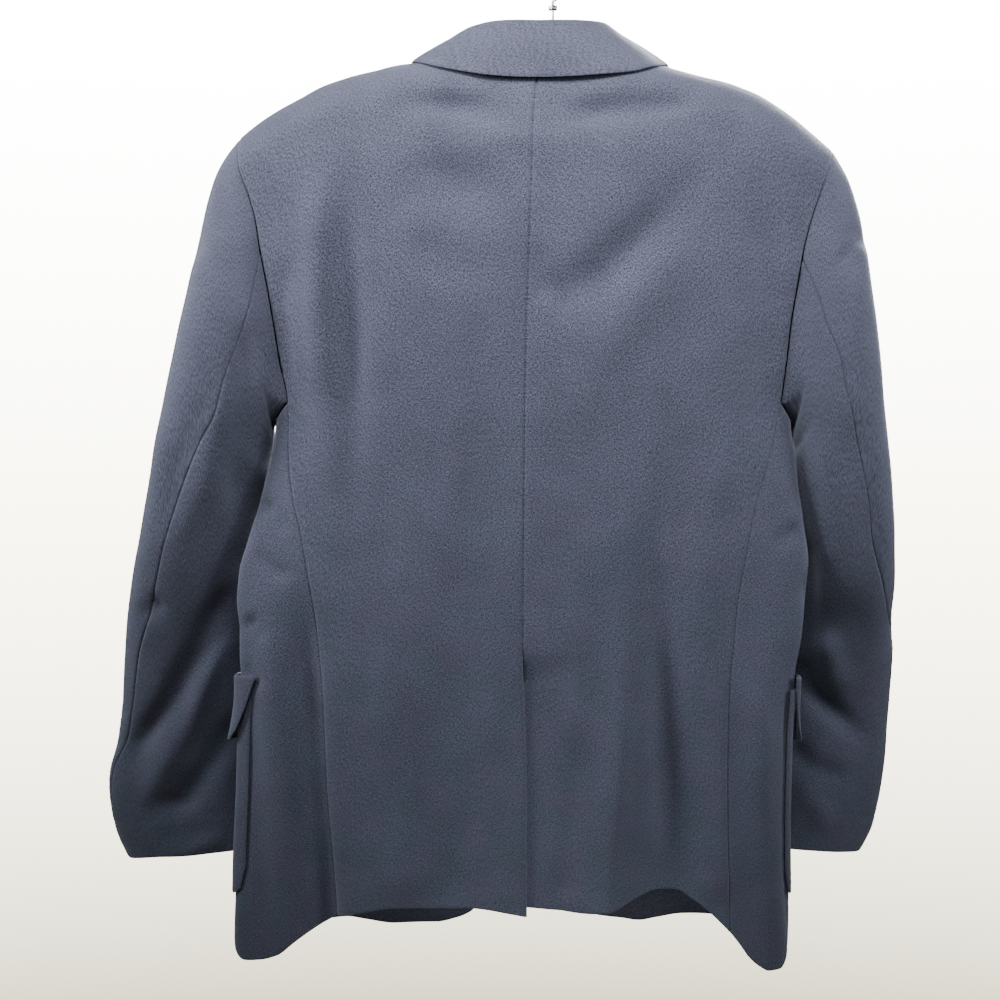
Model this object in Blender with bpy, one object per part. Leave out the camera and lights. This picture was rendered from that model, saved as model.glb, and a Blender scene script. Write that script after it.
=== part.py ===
"""Navy two-button blazer on a hanger, hanging by the hook, in metres with +Z up.

The origin is the inside top of the hanger's hook. The wearer's left is +X and the front faces -Y, so
the back, with its centre seam and vent, faces +Y. Lengths in this file are millimetres, and MM turns
them into metres where a mesh is made.

The cloth is a set of walls. The body's form is one surface, worked out from a few sections: at each
height a rounded outline runs from the centre back round the side to the centre front. Every panel
of the body is cut from it along its own seams, and pockets, flaps and lapels are its points moved out.
"across" is the distance from the garment's own centre line, which leans a little on the hanger.
"""

import math
from collections import namedtuple

import bmesh
import bpy
from mathutils import Vector

MM = 0.001
CLOTH = 2.0
SEAM_GAP = 0.3
SHARP_ANGLE = 45
BUTTON_ROUNDING = 1.0
MITRE_LEAST = 0.6
LEFT, RIGHT = 1, -1
SIDE_NAMES = {LEFT: "left", RIGHT: "right"}

NAVY = (0.024, 0.034, 0.062, 1.0)
BUTTON_BROWN = (0.018, 0.014, 0.012, 1.0)
HANGER_BLACK = (0.02, 0.02, 0.022, 1.0)
STEEL = (0.62, 0.62, 0.60, 1.0)

# Body sections: depth of the back, the side edge and the front at each height
Depth = namedtuple("Depth", "height back side front squareness")
DEPTHS = (
    Depth(-90, 50, -6, -36, 2.4),
    Depth(-130, 54, -6, -46, 2.4),
    Depth(-160, 59, -5, -53, 2.4),
    Depth(-200, 64, -4, -60, 2.4),
    Depth(-300, 62, -3, -63, 2.5),
    Depth(-400, 57, 0, -62, 2.6),
    Depth(-500, 50, 8, -60, 2.6),
    Depth(-600, 48, 17, -58, 2.6),
    Depth(-660, 49, 21, -57, 2.6),
    Depth(-750, 53, 23, -56, 2.6),
    Depth(-830, 58, 25, -55, 2.5),
    Depth(-920, 61, 27, -55, 2.4),
)

# Half width of the body, which the sleeve hides above the armpit
Width = namedtuple("Width", "height across")
WIDTHS = {
    LEFT: (
        Width(-90, 302), Width(-175, 300), Width(-221, 290), Width(-267, 278), Width(-320, 258),
        Width(-375, 237), Width(-408, 226), Width(-430, 226), Width(-450, 229), Width(-495, 239),
        Width(-532, 249), Width(-560, 256), Width(-586, 257), Width(-613, 254), Width(-658, 254),
        Width(-712, 257), Width(-765, 259), Width(-820, 261), Width(-920, 262),
    ),
    RIGHT: (
        Width(-90, 310), Width(-178, 308), Width(-225, 298), Width(-272, 286), Width(-320, 268),
        Width(-375, 251), Width(-408, 243), Width(-430, 243), Width(-450, 246), Width(-480, 249),
        Width(-513, 254), Width(-550, 258), Width(-586, 255), Width(-622, 251), Width(-658, 244),
        Width(-721, 237), Width(-793, 235), Width(-856, 235), Width(-920, 234),
    ),
}

# The centre back seam's place in X
Centre = namedtuple("Centre", "height x")
CENTRE_LINE = (
    Centre(-60, 14.5), Centre(-120, 16), Centre(-160, 19.3), Centre(-232, 21.5), Centre(-320, 24.7),
    Centre(-407, 26.4), Centre(-495, 27.2), Centre(-584, 28), Centre(-628, 28.2), Centre(-690, 26),
    Centre(-760, 24.8), Centre(-920, 24.6),
)

# Top of the body: the back neck, and past the neck point the shoulder ridge
Top = namedtuple("Top", "across y height")
NECK_POINT = 76
NECK_CENTRE_X = 16
CHEST_MIDDLE = (26.4, 0, -450)
ARM_MIDDLE = (300, -20, -500)
NECK = (Top(0, 31, -99), Top(19, 30, -99), Top(38, 25, -97.5), Top(57, 12, -93.5), Top(76, -6, -90))
RIDGES = {
    LEFT: (
        Top(76, -6, -90), Top(111, -6, -96.5), Top(122, -6, -97.5), Top(150, -6, -103.5),
        Top(172, -6, -109.5), Top(195, -6, -117.5), Top(216, -6, -129), Top(244, -6, -146.5),
        Top(267, -6, -165),
    ),
    RIGHT: (
        Top(76, -6, -90), Top(111, -6, -97), Top(124, -6, -101), Top(152, -6, -109),
        Top(175, -6, -114.5), Top(198, -6, -122), Top(224, -6, -137), Top(243, -6, -150.5),
        Top(265, -6, -167.5), Top(275, -6, -176),
    ),
}
ROLL_REACH = 46

# The back armhole, then the seam between back and side panel
Edge = namedtuple("Edge", "height across")
BACK_EDGES = {
    LEFT: (
        Edge(-165, 267), Edge(-198, 262), Edge(-221, 253), Edge(-244, 245.5), Edge(-267, 241),
        Edge(-285, 237), Edge(-307, 232), Edge(-339, 226), Edge(-375, 220), Edge(-408, 213.5),
        Edge(-464, 211), Edge(-495, 206.5), Edge(-525, 199), Edge(-570, 191), Edge(-606, 185),
        Edge(-651, 181), Edge(-692, 180), Edge(-753, 178), Edge(-821, 172), Edge(-865, 169),
    ),
    RIGHT: (
        Edge(-176, 275), Edge(-205, 265), Edge(-225, 258), Edge(-248, 251), Edge(-272, 246),
        Edge(-307, 241.5), Edge(-333, 238), Edge(-357, 236), Edge(-382, 234), Edge(-408, 231),
        Edge(-461, 218.5), Edge(-505, 205.5), Edge(-543, 198.5), Edge(-584, 191.5), Edge(-622, 188),
        Edge(-657, 183), Edge(-709, 178.5), Edge(-761, 177.5), Edge(-814, 178), Edge(-877, 180),
    ),
}
# The front armhole, then the seam between side panel and front
FRONT_EDGES = {
    LEFT: (
        Edge(-165, 267), Edge(-198, 256), Edge(-221, 244), Edge(-244, 235), Edge(-285, 223),
        Edge(-320, 217), Edge(-350, 213), Edge(-380, 210.5), Edge(-408, 209), Edge(-500, 212),
        Edge(-600, 210), Edge(-700, 206), Edge(-906, 203),
    ),
    RIGHT: (
        Edge(-176, 275), Edge(-205, 262), Edge(-225, 251), Edge(-248, 242), Edge(-283, 233),
        Edge(-320, 228), Edge(-350, 226), Edge(-380, 225), Edge(-408, 225), Edge(-500, 222),
        Edge(-600, 212), Edge(-700, 199), Edge(-906, 192),
    ),
}
ARMPIT_HEIGHT = -408
ARMPIT_DROP = 16

# The front's own edge: neck, lapel roll line, straight edge and cutaway
ROLL_LINE_TOP = -152
ROLL_LINE_FOOT = -508
FRONT_OPENING = (
    Edge(-90, 76), Edge(-112, 76), Edge(-132, 72), Edge(-152, 66), Edge(-240, 45.5), Edge(-330, 24.5),
    Edge(-420, 3.5), Edge(-508, -17), Edge(-560, -20), Edge(-620, -20), Edge(-670, -15),
    Edge(-720, -6), Edge(-770, 7), Edge(-820, 22), Edge(-850, 32), Edge(-876, 43),
)
# How far the left front stands off where it laps over the right front and its lapel
Lift = namedtuple("Lift", "height lift")
LAP_LIFTS = (Lift(-360, 0), Lift(-420, 8.4), Lift(-515, 8.4), Lift(-570, 4.2), Lift(-640, 3.7),
             Lift(-880, 3.6))
LAP_FULL = 24
LAP_FADE = 60

# Hems, measured across from the centre line
Hem = namedtuple("Hem", "across height")
HEMS = {
    LEFT: {
        "back": (Hem(0, -863), Hem(55, -855), Hem(112, -855.5), Hem(169, -864.5)),
        "side": (Hem(0.0, -864.5), Hem(0.07, -876), Hem(0.127, -887), Hem(0.19, -899),
                 Hem(0.27, -904), Hem(0.377, -905.5), Hem(0.48, -900), Hem(0.56, -890),
                 Hem(0.7, -885), Hem(0.85, -887), Hem(1.0, -893)),
        "front": (Hem(43, -876), Hem(52, -884.5), Hem(66, -890), Hem(84, -893.5), Hem(122, -893.5),
                  Hem(150, -889), Hem(168, -886), Hem(185, -887), Hem(203, -893)),
    },
    RIGHT: {
        "back": (Hem(0, -863), Hem(44, -861), Hem(74, -858), Hem(87, -852), Hem(100, -845),
                 Hem(117, -840), Hem(136, -841), Hem(146, -847), Hem(159, -857), Hem(180, -878)),
        "side": (Hem(0.0, -878), Hem(0.045, -889), Hem(0.093, -901), Hem(0.15, -909),
                 Hem(0.22, -914), Hem(0.33, -913.5), Hem(0.42, -908), Hem(0.53, -897),
                 Hem(0.7, -890), Hem(0.85, -888), Hem(1.0, -888)),
        "front": (Hem(43, -874), Hem(52, -881), Hem(70, -887.5), Hem(92, -889.5), Hem(106, -891),
                  Hem(122, -888), Hem(147, -883), Hem(170, -882), Hem(192, -888)),
    },
}
VENT_TOP = -640
VENT_UNDERLAP = 38
VENT_RECESS = 3.4
VENT_BLEND = 60
VENT_RISE = 9

# Rows of the body grid: shares of the way from shoulder to armpit, and from armpit to hem
UPPER_SHARES = (0.0, 0.03, 0.10, 0.19, 0.31, 0.45, 0.62, 0.81, 1.0)
LOWER_ROWS = 17
NECK_COLUMNS = 4
SHOULDER_COLUMNS = 7
SIDE_COLUMNS = 6

# Sleeve sections from below the armhole to the cuff; lean is how far the inner edge lies forward
SleeveRing = namedtuple("SleeveRing", "outer_across outer_height inner_across inner_height y half_depth"
                                      " lean bow hind_seam fore_seam")
SLEEVES = {
    LEFT: (
        SleeveRing(284, -193, 229, -430, -2, 47, 2, 9, 92, 240),
        SleeveRing(292, -219, 229.5, -437, -2, 50, 5, 6, 95, 240),
        SleeveRing(300, -259, 229.5, -445, -4, 54, 8, 3, 95, 240),
        SleeveRing(307, -298, 230.5, -454, -6, 57, 11, 1, 93, 240),
        SleeveRing(314, -332, 231.5, -465, -8, 58, 13, 0, 92, 239),
        SleeveRing(321, -366, 232, -479, -10, 58, 15, 0, 90, 238),
        SleeveRing(328, -402, 236, -495, -13, 57, 16, 0, 84, 236),
        SleeveRing(336, -442, 240.5, -513, -17, 56, 17, 0, 78, 233),
        SleeveRing(343, -484, 246, -534, -22, 55, 17, 0, 71, 229),
        SleeveRing(352, -530, 252, -561, -28, 53, 16, 0, 66, 225),
        SleeveRing(363, -585, 252, -598, -38, 49, 12, 0, 60, 220),
        SleeveRing(372, -640, 248, -642, -49, 43, 6, 0, 47, 213),
        SleeveRing(380, -690, 243, -685, -57, 37, 0, 0, 39, 206),
        SleeveRing(386, -723, 239, -716, -62, 33, 0, 0, 31, 200),
        SleeveRing(394, -750, 236, -742, -66, 31, 0, 0, 20, 195),
        SleeveRing(395, -778, 233, -768, -69, 29, 0, 0, 13, 190),
        SleeveRing(389, -808, 231, -797, -71, 27, 0, 0, 9, 188),
        SleeveRing(377, -836, 230, -822, -72, 24, 0, 0, 8, 187),
    ),
    RIGHT: (
        SleeveRing(288, -199, 246, -430, -2, 49, 2, 9, 90, 240),
        SleeveRing(297, -226, 246, -437, -2, 52, 5, 6, 92, 240),
        SleeveRing(305, -259, 246, -445, -4, 57, 8, 3, 91, 240),
        SleeveRing(311, -294, 246.5, -454, -6, 60, 11, 1, 89, 240),
        SleeveRing(317, -328, 245, -465, -8, 61, 13, 0, 88, 239),
        SleeveRing(322, -362, 246, -479, -10, 61, 15, 0, 84, 238),
        SleeveRing(327, -400, 248, -495, -13, 60, 16, 0, 81, 236),
        SleeveRing(332, -442, 250, -513, -17, 59, 17, 0, 76, 232),
        SleeveRing(336, -484, 252.5, -534, -22, 58, 17, 0, 70, 228),
        SleeveRing(341, -530, 253, -561, -30, 55, 15, 0, 66, 222),
        SleeveRing(347, -582, 249, -592, -44, 48, 10, 0, 47, 212),
        SleeveRing(351, -632, 240, -628, -60, 41, 4, 0, 10, 196),
        SleeveRing(350, -676, 228, -665, -71, 35, 0, 0, -4, 186),
        SleeveRing(347, -712, 217, -700, -77, 31, 0, 0, -10, 180),
        SleeveRing(345, -744, 208, -732, -80, 29, 0, 0, -12, 178),
        SleeveRing(341, -775, 201, -763, -81, 27, 0, 0, -12, 177),
        SleeveRing(334, -806, 194, -794, -81, 25, 0, 0, -12, 176),
        SleeveRing(322, -832, 189, -821, -81, 23, 0, 0, -12, 176),
    ),
}
HIND_INDEX = 5
FORE_INDEX = 15
SLEEVE_SQUARENESS = 2.15

# Collar stations from the centre back to the gorge: neck seam, roll line and outer edge
CollarStation = namedtuple("CollarStation", "base roll edge")
COLLAR = (
    CollarStation((0, 31, -98.2), (0, 36, -66), (0, 56, -121.5)),
    CollarStation((19, 30, -98.2), (20, 35, -65.5), (24, 56, -121)),
    CollarStation((38, 25, -96.6), (40, 28, -65), (51, 54, -118)),
    CollarStation((57, 12, -92.4), (59, 14, -67), (83, 44, -109)),
    CollarStation((66, 4, -90.4), (69, 8, -70), (100, 32, -101)),
    CollarStation((71, -1, -88.8), (76, 3, -73), (110, 14, -93)),
    CollarStation((74, -6, -88.8), (79, -2, -75), (115, -4, -92)),
    CollarStation((74, -22, -95), (79, -27, -84), (124, -33, -106)),
    CollarStation((72, -37, -111), (74, -46, -103), (125, -55, -133)),
    CollarStation((69, -46, -131), (69, -56, -126), (119, -65, -169)),
    CollarStation((64, -51, -150), (63, -61, -148), (99, -67, -183)),
)
COLLAR_FOLD = 4.2
COLLAR_FOLD_STEPS = 4
COLLAR_FALL_STEPS = 4
COLLAR_BULGE = 3.0

# Lapel: its outer edge from the tip at the notch to the top button
LAPEL_EDGE = (
    Edge(-214, 141), Edge(-250, 139), Edge(-310, 124), Edge(-370, 98), Edge(-430, 60),
    Edge(-475, 24), Edge(-506, -6),
)
LAPEL_ROWS = 13
LAPEL_COLUMNS = 5
LAPEL_LIFT = 3.4
LAPEL_ROLL = 5.2
LAPEL_TOP_GAP = 3
# The lapel's two points before the roll line, which tuck its inner edge back: lead and lift
LAPEL_TUCKS = ((-CLOTH - SEAM_GAP, 0.6), (0.4 - CLOTH - SEAM_GAP, LAPEL_ROLL - 1.2))
LAPEL_FIRST_ACROSS = 2
LAPEL_FALL_RATE = 1.6

# Patch pockets, placed on the body's outline by angle from the centre back
PocketPlace = namedtuple("PocketPlace", "rear_angle fore_angle rear_slant top foot")
POCKETS = {LEFT: PocketPlace(71, 143, 0, -664, -848), RIGHT: PocketPlace(77, 147, 0, -666, -850)}
FLAPS = {LEFT: PocketPlace(66, 144, 16, -652, -712), RIGHT: PocketPlace(80, 148, 6, -654, -714)}
POCKET_COLUMNS = 9
POCKET_ROWS = 6
POCKET_LIFT = 3.2
POCKET_CORNER = 20
# How a corner is rounded: degrees in and share up per millimetre of corner, kept to the ends
CORNER_TURN = 0.18
CORNER_RISE = 0.7
CORNER_POWER = 6
FLAP_ROWS = 3
FLAP_LIFT = 6.6
FLAP_KICK = 5.0
FLAP_CORNER = 10

BUTTON_RADIUS = 10.5
BUTTON_THICKNESS = 4.2
BUTTON_HEIGHTS = (-520, -625)
BUTTON_SIDES = 24

WIRE_RADIUS = 1.7
HOOK_INNER_RADIUS = 19
HOOK_TIP_ANGLE = 196
HOOK_NECK_ANGLE = -42
HOOK_STEPS = 22
HOOK_BEND_STEPS = 4
HOOK_BEND_POWER = 1.6
STEM_STEPS = 3
WIRE_SIDES = 8
FERRULE_SIDES = 16
FERRULE_RADIUS = 4.2
FERRULE_HEIGHT = 3.0
FERRULE_TOP = -44
STEM_FOOT = -76.3
HANGER_DROP = 12.0
HANGER_HALF_HEIGHT = 6.5
HANGER_HALF_DEPTH = 7.5
HANGER_STATIONS = 26
HANGER_SIDES = 10
# The arms' section at the tip and at the next stations, as shares of the full size
HANGER_TIP_SIZE = 0.55
HANGER_SIZE_STEP = 0.25
HANGER_TIPS = {LEFT: 246, RIGHT: 252}


class Curve:
    """A smooth curve through the rows of a table, read as one column against another."""

    def __init__(self, table, key, value):
        rows = sorted((getattr(row, key), getattr(row, value)) for row in table)
        self.at = [row[0] for row in rows]
        self.values = [row[1] for row in rows]
        self.slopes = self._slopes()

    def _slopes(self):
        at, values = self.at, self.values
        chords = [(values[i + 1] - values[i]) / (at[i + 1] - at[i]) for i in range(len(at) - 1)]
        slopes = [chords[0]]
        for before, after in zip(chords, chords[1:]):
            same_way = before * after > 0
            slopes.append(2 * before * after / (before + after) if same_way else 0.0)
        slopes.append(chords[-1])
        return slopes

    def __call__(self, where):
        at = self.at
        if where <= at[0]:
            return self.values[0]
        if where >= at[-1]:
            return self.values[-1]
        i = max(index for index in range(len(at) - 1) if at[index] <= where)
        span = at[i + 1] - at[i]
        t = (where - at[i]) / span
        rise = self.values[i + 1] - self.values[i]
        ease = t * t * (3 - 2 * t)
        lead_in = t * (1 - t) ** 2 * span * self.slopes[i]
        lead_out = t * t * (1 - t) * span * self.slopes[i + 1]
        return self.values[i] + rise * ease + lead_in - lead_out


def lerp(start, end, share):
    """The value a share of the way from start to end."""
    return start + (end - start) * share


def smoothstep(share):
    """Ease from 0 to 1."""
    share = min(1.0, max(0.0, share))
    return share * share * (3 - 2 * share)


class Body:
    """One half of the body's surface, from the centre back round the side to the centre front."""

    def __init__(self, side):
        self.side = side
        self.centre_x = Curve(CENTRE_LINE, "height", "x")
        self.width = Curve(WIDTHS[side], "height", "across")
        self.back = Curve(DEPTHS, "height", "back")
        self.side_y = Curve(DEPTHS, "height", "side")
        self.front = Curve(DEPTHS, "height", "front")
        self.squareness = Curve(DEPTHS, "height", "squareness")
        top = NECK[:-1] + RIDGES[side]
        self.top_y = Curve(top, "across", "y")
        self.top_height = Curve(top, "across", "height")
        self.back_edge = Curve(BACK_EDGES[side], "height", "across")
        self.front_edge = Curve(FRONT_EDGES[side], "height", "across")
        self.opening = Curve(FRONT_OPENING, "height", "across")
        self.lap = Curve(LAP_LIFTS, "height", "lift")
        self.hems = {name: Curve(table, "across", "height") for name, table in HEMS[side].items()}
        self.tip = RIDGES[side][-1].across

    def place(self, across, y, height):
        """A point at a distance across from the centre line, on this side."""
        return Vector((self.centre_x(height) + self.side * across, y, height))

    def _fullness(self, across, height):
        power = self.squareness(height)
        share = min(1.0, abs(across) / self.width(height))
        return (1 - share ** power) ** (1 / power)

    def _roll(self, across, height):
        drop = self.top_height(max(across, 0)) - height
        share = min(1.0, max(0.0, drop / ROLL_REACH))
        return math.sqrt(1 - (1 - share) ** 2)

    def back_point(self, across, height):
        """The back's outer surface."""
        side_y = self.side_y(height)
        full = side_y + (self.back(height) - side_y) * self._fullness(across, height)
        top_y = self.top_y(abs(across))
        return self.place(across, lerp(top_y, full, self._roll(abs(across), height)), height)

    def front_point(self, across, height):
        """The front's outer surface, the left front lifted where it laps over the right."""
        side_y = self.side_y(height)
        full = side_y + (self.front(height) - side_y) * self._fullness(across, height)
        reach = max(abs(across), NECK_POINT)
        y = lerp(self.top_y(reach), full, self._roll(reach, height))
        if self.side == LEFT:
            y -= self.lap(height) * smoothstep((LAP_FADE - across) / (LAP_FADE - LAP_FULL))
        return self.place(across, y, height)

    def ring_point(self, angle, height, lift=0.0):
        """The outline at one height, by angle in degrees: 0 centre back, 90 side, 180 centre front."""
        turn = math.radians(angle)
        power = 2 / self.squareness(height)
        side_y = self.side_y(height)
        depth = self.back(height) - side_y if angle <= 90 else side_y - self.front(height)
        sine, cosine = math.sin(turn), math.cos(turn)
        width = self.width(height)
        across = width * sine ** power
        y = side_y + depth * math.copysign(abs(cosine) ** power, cosine)
        normal_across = sine ** (2 - power) / width
        normal_y = math.copysign(abs(cosine) ** (2 - power), cosine) / depth
        length = math.hypot(normal_across, normal_y)
        across += lift * normal_across / length
        y += lift * normal_y / length
        return self.place(across, y, height)

    def angle_at(self, across, height, front=False):
        """The outline angle at a distance across."""
        share = min(1.0, across / self.width(height))
        angle = math.degrees(math.asin(share ** (self.squareness(height) / 2)))
        return 180 - angle if front else angle

    def side_top(self, share):
        """Height of the armhole's foot, where the side panel ends."""
        return ARMPIT_HEIGHT - ARMPIT_DROP * math.sin(math.pi * share)


def rows_between(top, pit, hem):
    """Heights of one column of the body grid."""
    upper = [lerp(top, pit, share) for share in UPPER_SHARES]
    lower = [lerp(pit, hem, row / LOWER_ROWS) for row in range(1, LOWER_ROWS + 1)]
    return upper + lower


def across_shares(body):
    """Shares of the way from the centre to the armhole of the back's columns."""
    neck = [NECK_POINT * i / NECK_COLUMNS for i in range(NECK_COLUMNS)]
    step = (body.tip - NECK_POINT) / SHOULDER_COLUMNS
    shoulder = [NECK_POINT + step * i for i in range(SHOULDER_COLUMNS + 1)]
    return [value / body.tip for value in neck + shoulder]


def back_grid(body):
    """Points of one back panel: columns from the centre seam to the armhole and side seam."""
    columns = []
    edge_hem = HEMS[body.side]["back"][-1]
    for share in across_shares(body):
        top = body.top_height(share * body.tip)
        hem = body.hems["back"](share * edge_hem.across)
        column = []
        for height in rows_between(top, ARMPIT_HEIGHT, hem):
            edge_height = lerp(height, height + body.top_height(body.tip) - top,
                               max(0, (height - ARMPIT_HEIGHT) / (top - ARMPIT_HEIGHT)))
            across = share * body.back_edge(edge_height)
            column.append(body.back_point(across, height))
        columns.append(column)
    return add_underlap(columns) if body.side == RIGHT else columns


def add_underlap(columns):
    """The right back's strip under the left at the vent: it steps inwards, then reaches across."""
    first = next(row for row, point in enumerate(columns[0]) if point.z < VENT_TOP)
    for row in range(first, len(columns[0])):
        seam_x = columns[0][row].x
        for column in columns:
            near = smoothstep(1 - abs(column[row].x - seam_x) / VENT_BLEND)
            column[row].y -= VENT_RECESS * near
            column[row].z += VENT_RISE * near * (row - first) / (len(column) - 1 - first)
        columns[0][row].x += VENT_UNDERLAP if row > first else -SEAM_GAP
    return columns


def side_grid(body):
    """Points of one side panel: columns from the back seam round to the front seam."""
    columns = []
    for index in range(SIDE_COLUMNS + 1):
        share = index / SIDE_COLUMNS
        column = []
        for row in range(LOWER_ROWS + 1):
            height = lerp(body.side_top(share), body.hems["side"](share), row / LOWER_ROWS)
            rear = body.angle_at(body.back_edge(height), height)
            fore = body.angle_at(body.front_edge(height), height, front=True)
            if index == 0:
                point = body.back_point(body.back_edge(height), height)
            elif index == SIDE_COLUMNS:
                point = body.front_point(body.front_edge(height), height)
            else:
                point = body.ring_point(lerp(rear, fore, share), height)
            column.append(point)
        columns.append(column)
    return columns


def front_grid(body):
    """Points of one front: columns from its own edge to the armhole and side seam."""
    columns = []
    hem_table = HEMS[body.side]["front"]
    for index in range(SHOULDER_COLUMNS + 1):
        share = index / SHOULDER_COLUMNS
        top_across = lerp(NECK_POINT, body.tip, share)
        top = body.top_height(top_across)
        hem = body.hems["front"](lerp(hem_table[0].across, hem_table[-1].across, share))
        column = []
        for height in rows_between(top, ARMPIT_HEIGHT, hem):
            rise = max(0, (height - ARMPIT_HEIGHT) / (top - ARMPIT_HEIGHT))
            inner_height = height + rise * (body.top_height(NECK_POINT) - top)
            outer_height = height + rise * (body.top_height(body.tip) - top)
            across = lerp(body.opening(inner_height), body.front_edge(outer_height), share)
            column.append(body.front_point(across, height))
        columns.append(column)
    return columns


def armhole_loop(back, side, front):
    """The armhole's points from the shoulder tip down the back, under the arm and up the front."""
    upper = len(UPPER_SHARES)
    down_back = back[-1][:upper]
    under = [column[0] for column in side[1:]]
    up_front = [front[-1][row] for row in range(upper - 2, 0, -1)]
    return down_back + under + up_front


def sleeve_ring(body, ring, count):
    """One closed section of a sleeve, index 0 at the outside."""
    outer = body.place(ring.outer_across, ring.y + ring.lean, ring.outer_height)
    inner = body.place(ring.inner_across, ring.y - ring.lean, ring.inner_height)
    middle, reach = (outer + inner) / 2, (outer - inner) / 2
    top_steps = HIND_INDEX + count - FORE_INDEX
    fore_from_top = ring.fore_seam - 360
    points = []
    for index in range(count):
        if index <= HIND_INDEX:
            turn = lerp(fore_from_top, ring.hind_seam, (index + count - FORE_INDEX) / top_steps)
        elif index < FORE_INDEX:
            turn = lerp(ring.hind_seam, ring.fore_seam,
                        (index - HIND_INDEX) / (FORE_INDEX - HIND_INDEX))
        else:
            turn = lerp(fore_from_top, ring.hind_seam, (index - FORE_INDEX) / top_steps)
        cosine, sine = math.cos(math.radians(turn)), math.sin(math.radians(turn))
        power = 2 / SLEEVE_SQUARENESS
        along = math.copysign(abs(cosine) ** power, cosine)
        deep = math.copysign(abs(sine) ** power, sine)
        bow = Vector((-body.side * ring.bow * sine * sine, 0, 0))
        points.append(middle + reach * along + Vector((0, ring.half_depth * deep, 0)) + bow)
    return points


def sleeve_grids(body, loop):
    """Columns of the top sleeve and of the under sleeve, from the armhole to the cuff."""
    rings = [loop] + [sleeve_ring(body, ring, len(loop)) for ring in SLEEVES[body.side]]
    top_order = list(range(FORE_INDEX, len(loop))) + list(range(0, HIND_INDEX + 1))
    under_order = list(range(HIND_INDEX, FORE_INDEX + 1))
    top = [[ring[index] for ring in rings] for index in top_order]
    under = [[ring[index] for ring in rings] for index in under_order]
    return top, under


def collar_section(station):
    """Points across the collar at one station: up the stand, over the roll and down the fall."""
    base, roll, edge = (Vector(point) for point in station)
    up = (roll - base).normalized()
    centre = roll - up * COLLAR_FOLD
    out = edge - roll
    out = (out - up * out.dot(up)).normalized()
    points = [base, lerp(base, centre - out * COLLAR_FOLD, 0.5)]
    for step in range(COLLAR_FOLD_STEPS + 1):
        turn = math.pi * step / COLLAR_FOLD_STEPS
        points.append(centre - out * COLLAR_FOLD * math.cos(turn) + up * COLLAR_FOLD * math.sin(turn))
    start = points[-1]
    for step in range(1, COLLAR_FALL_STEPS + 1):
        share = step / COLLAR_FALL_STEPS
        bulge = out * COLLAR_BULGE * math.sin(math.pi * share)
        points.append(lerp(start, edge, share) + bulge)
    return points


def collar_grid():
    """Columns of the whole collar, from the left gorge round the back neck to the right one."""
    columns = []
    for side in (LEFT, RIGHT):
        half = []
        for station in COLLAR:
            section = collar_section(station)
            half.append([Vector((NECK_CENTRE_X + side * p.x, p.y, p.z)) for p in section])
        columns = half[::-1] if side == LEFT else columns + half[1:]
    return columns


def lapel_grid(body):
    """Columns of one lapel, from the roll line to its outer edge, from the gorge down."""
    edge = Curve(LAPEL_EDGE, "height", "across")
    rows = []
    for row in range(LAPEL_ROWS + 1):
        share = row / LAPEL_ROWS
        roll_height = lerp(ROLL_LINE_TOP - LAPEL_TOP_GAP, ROLL_LINE_FOOT, share)
        edge_height = lerp(LAPEL_EDGE[0].height, LAPEL_EDGE[-1].height, share)
        roll_across = body.opening(roll_height)
        edge_across = edge(edge_height)
        points = []
        for lead, lift in LAPEL_TUCKS:
            point = body.front_point(roll_across, roll_height)
            points.append(point + Vector((body.side * lead, -lift, 0)))
        for column in range(LAPEL_COLUMNS + 1):
            way = column / LAPEL_COLUMNS
            across = lerp(roll_across + LAPEL_FIRST_ACROSS, edge_across, way)
            height = lerp(roll_height, edge_height, way)
            lift = lerp(LAPEL_ROLL, LAPEL_LIFT, smoothstep(way * LAPEL_FALL_RATE))
            points.append(body.front_point(across, height) - Vector((0, lift, 0)))
        rows.append(points)
    return [list(column) for column in zip(*rows)]


def patch_grid(body, place, rows, lift, kick, corner):
    """Columns of a pocket or a flap: the body's points moved out, its lower corners rounded."""
    columns = []
    length = place.top - place.foot
    for column in range(POCKET_COLUMNS + 1):
        share = column / POCKET_COLUMNS
        line = []
        for row in range(rows + 1):
            down = row / rows
            height = lerp(place.top, place.foot, down)
            rear, fore = place.rear_angle + place.rear_slant * down, place.fore_angle
            spread = corner / length
            narrowing = max(0.0, (down - 1 + spread) / spread) * corner * CORNER_TURN
            angle = lerp(rear + narrowing, fore - narrowing, share)
            edge = abs(2 * share - 1) ** CORNER_POWER
            height += edge * max(0.0, down - 0.5) * corner * CORNER_RISE
            line.append(body.ring_point(angle, height, lift + kick * down * down))
        columns.append(line)
    return columns


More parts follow.
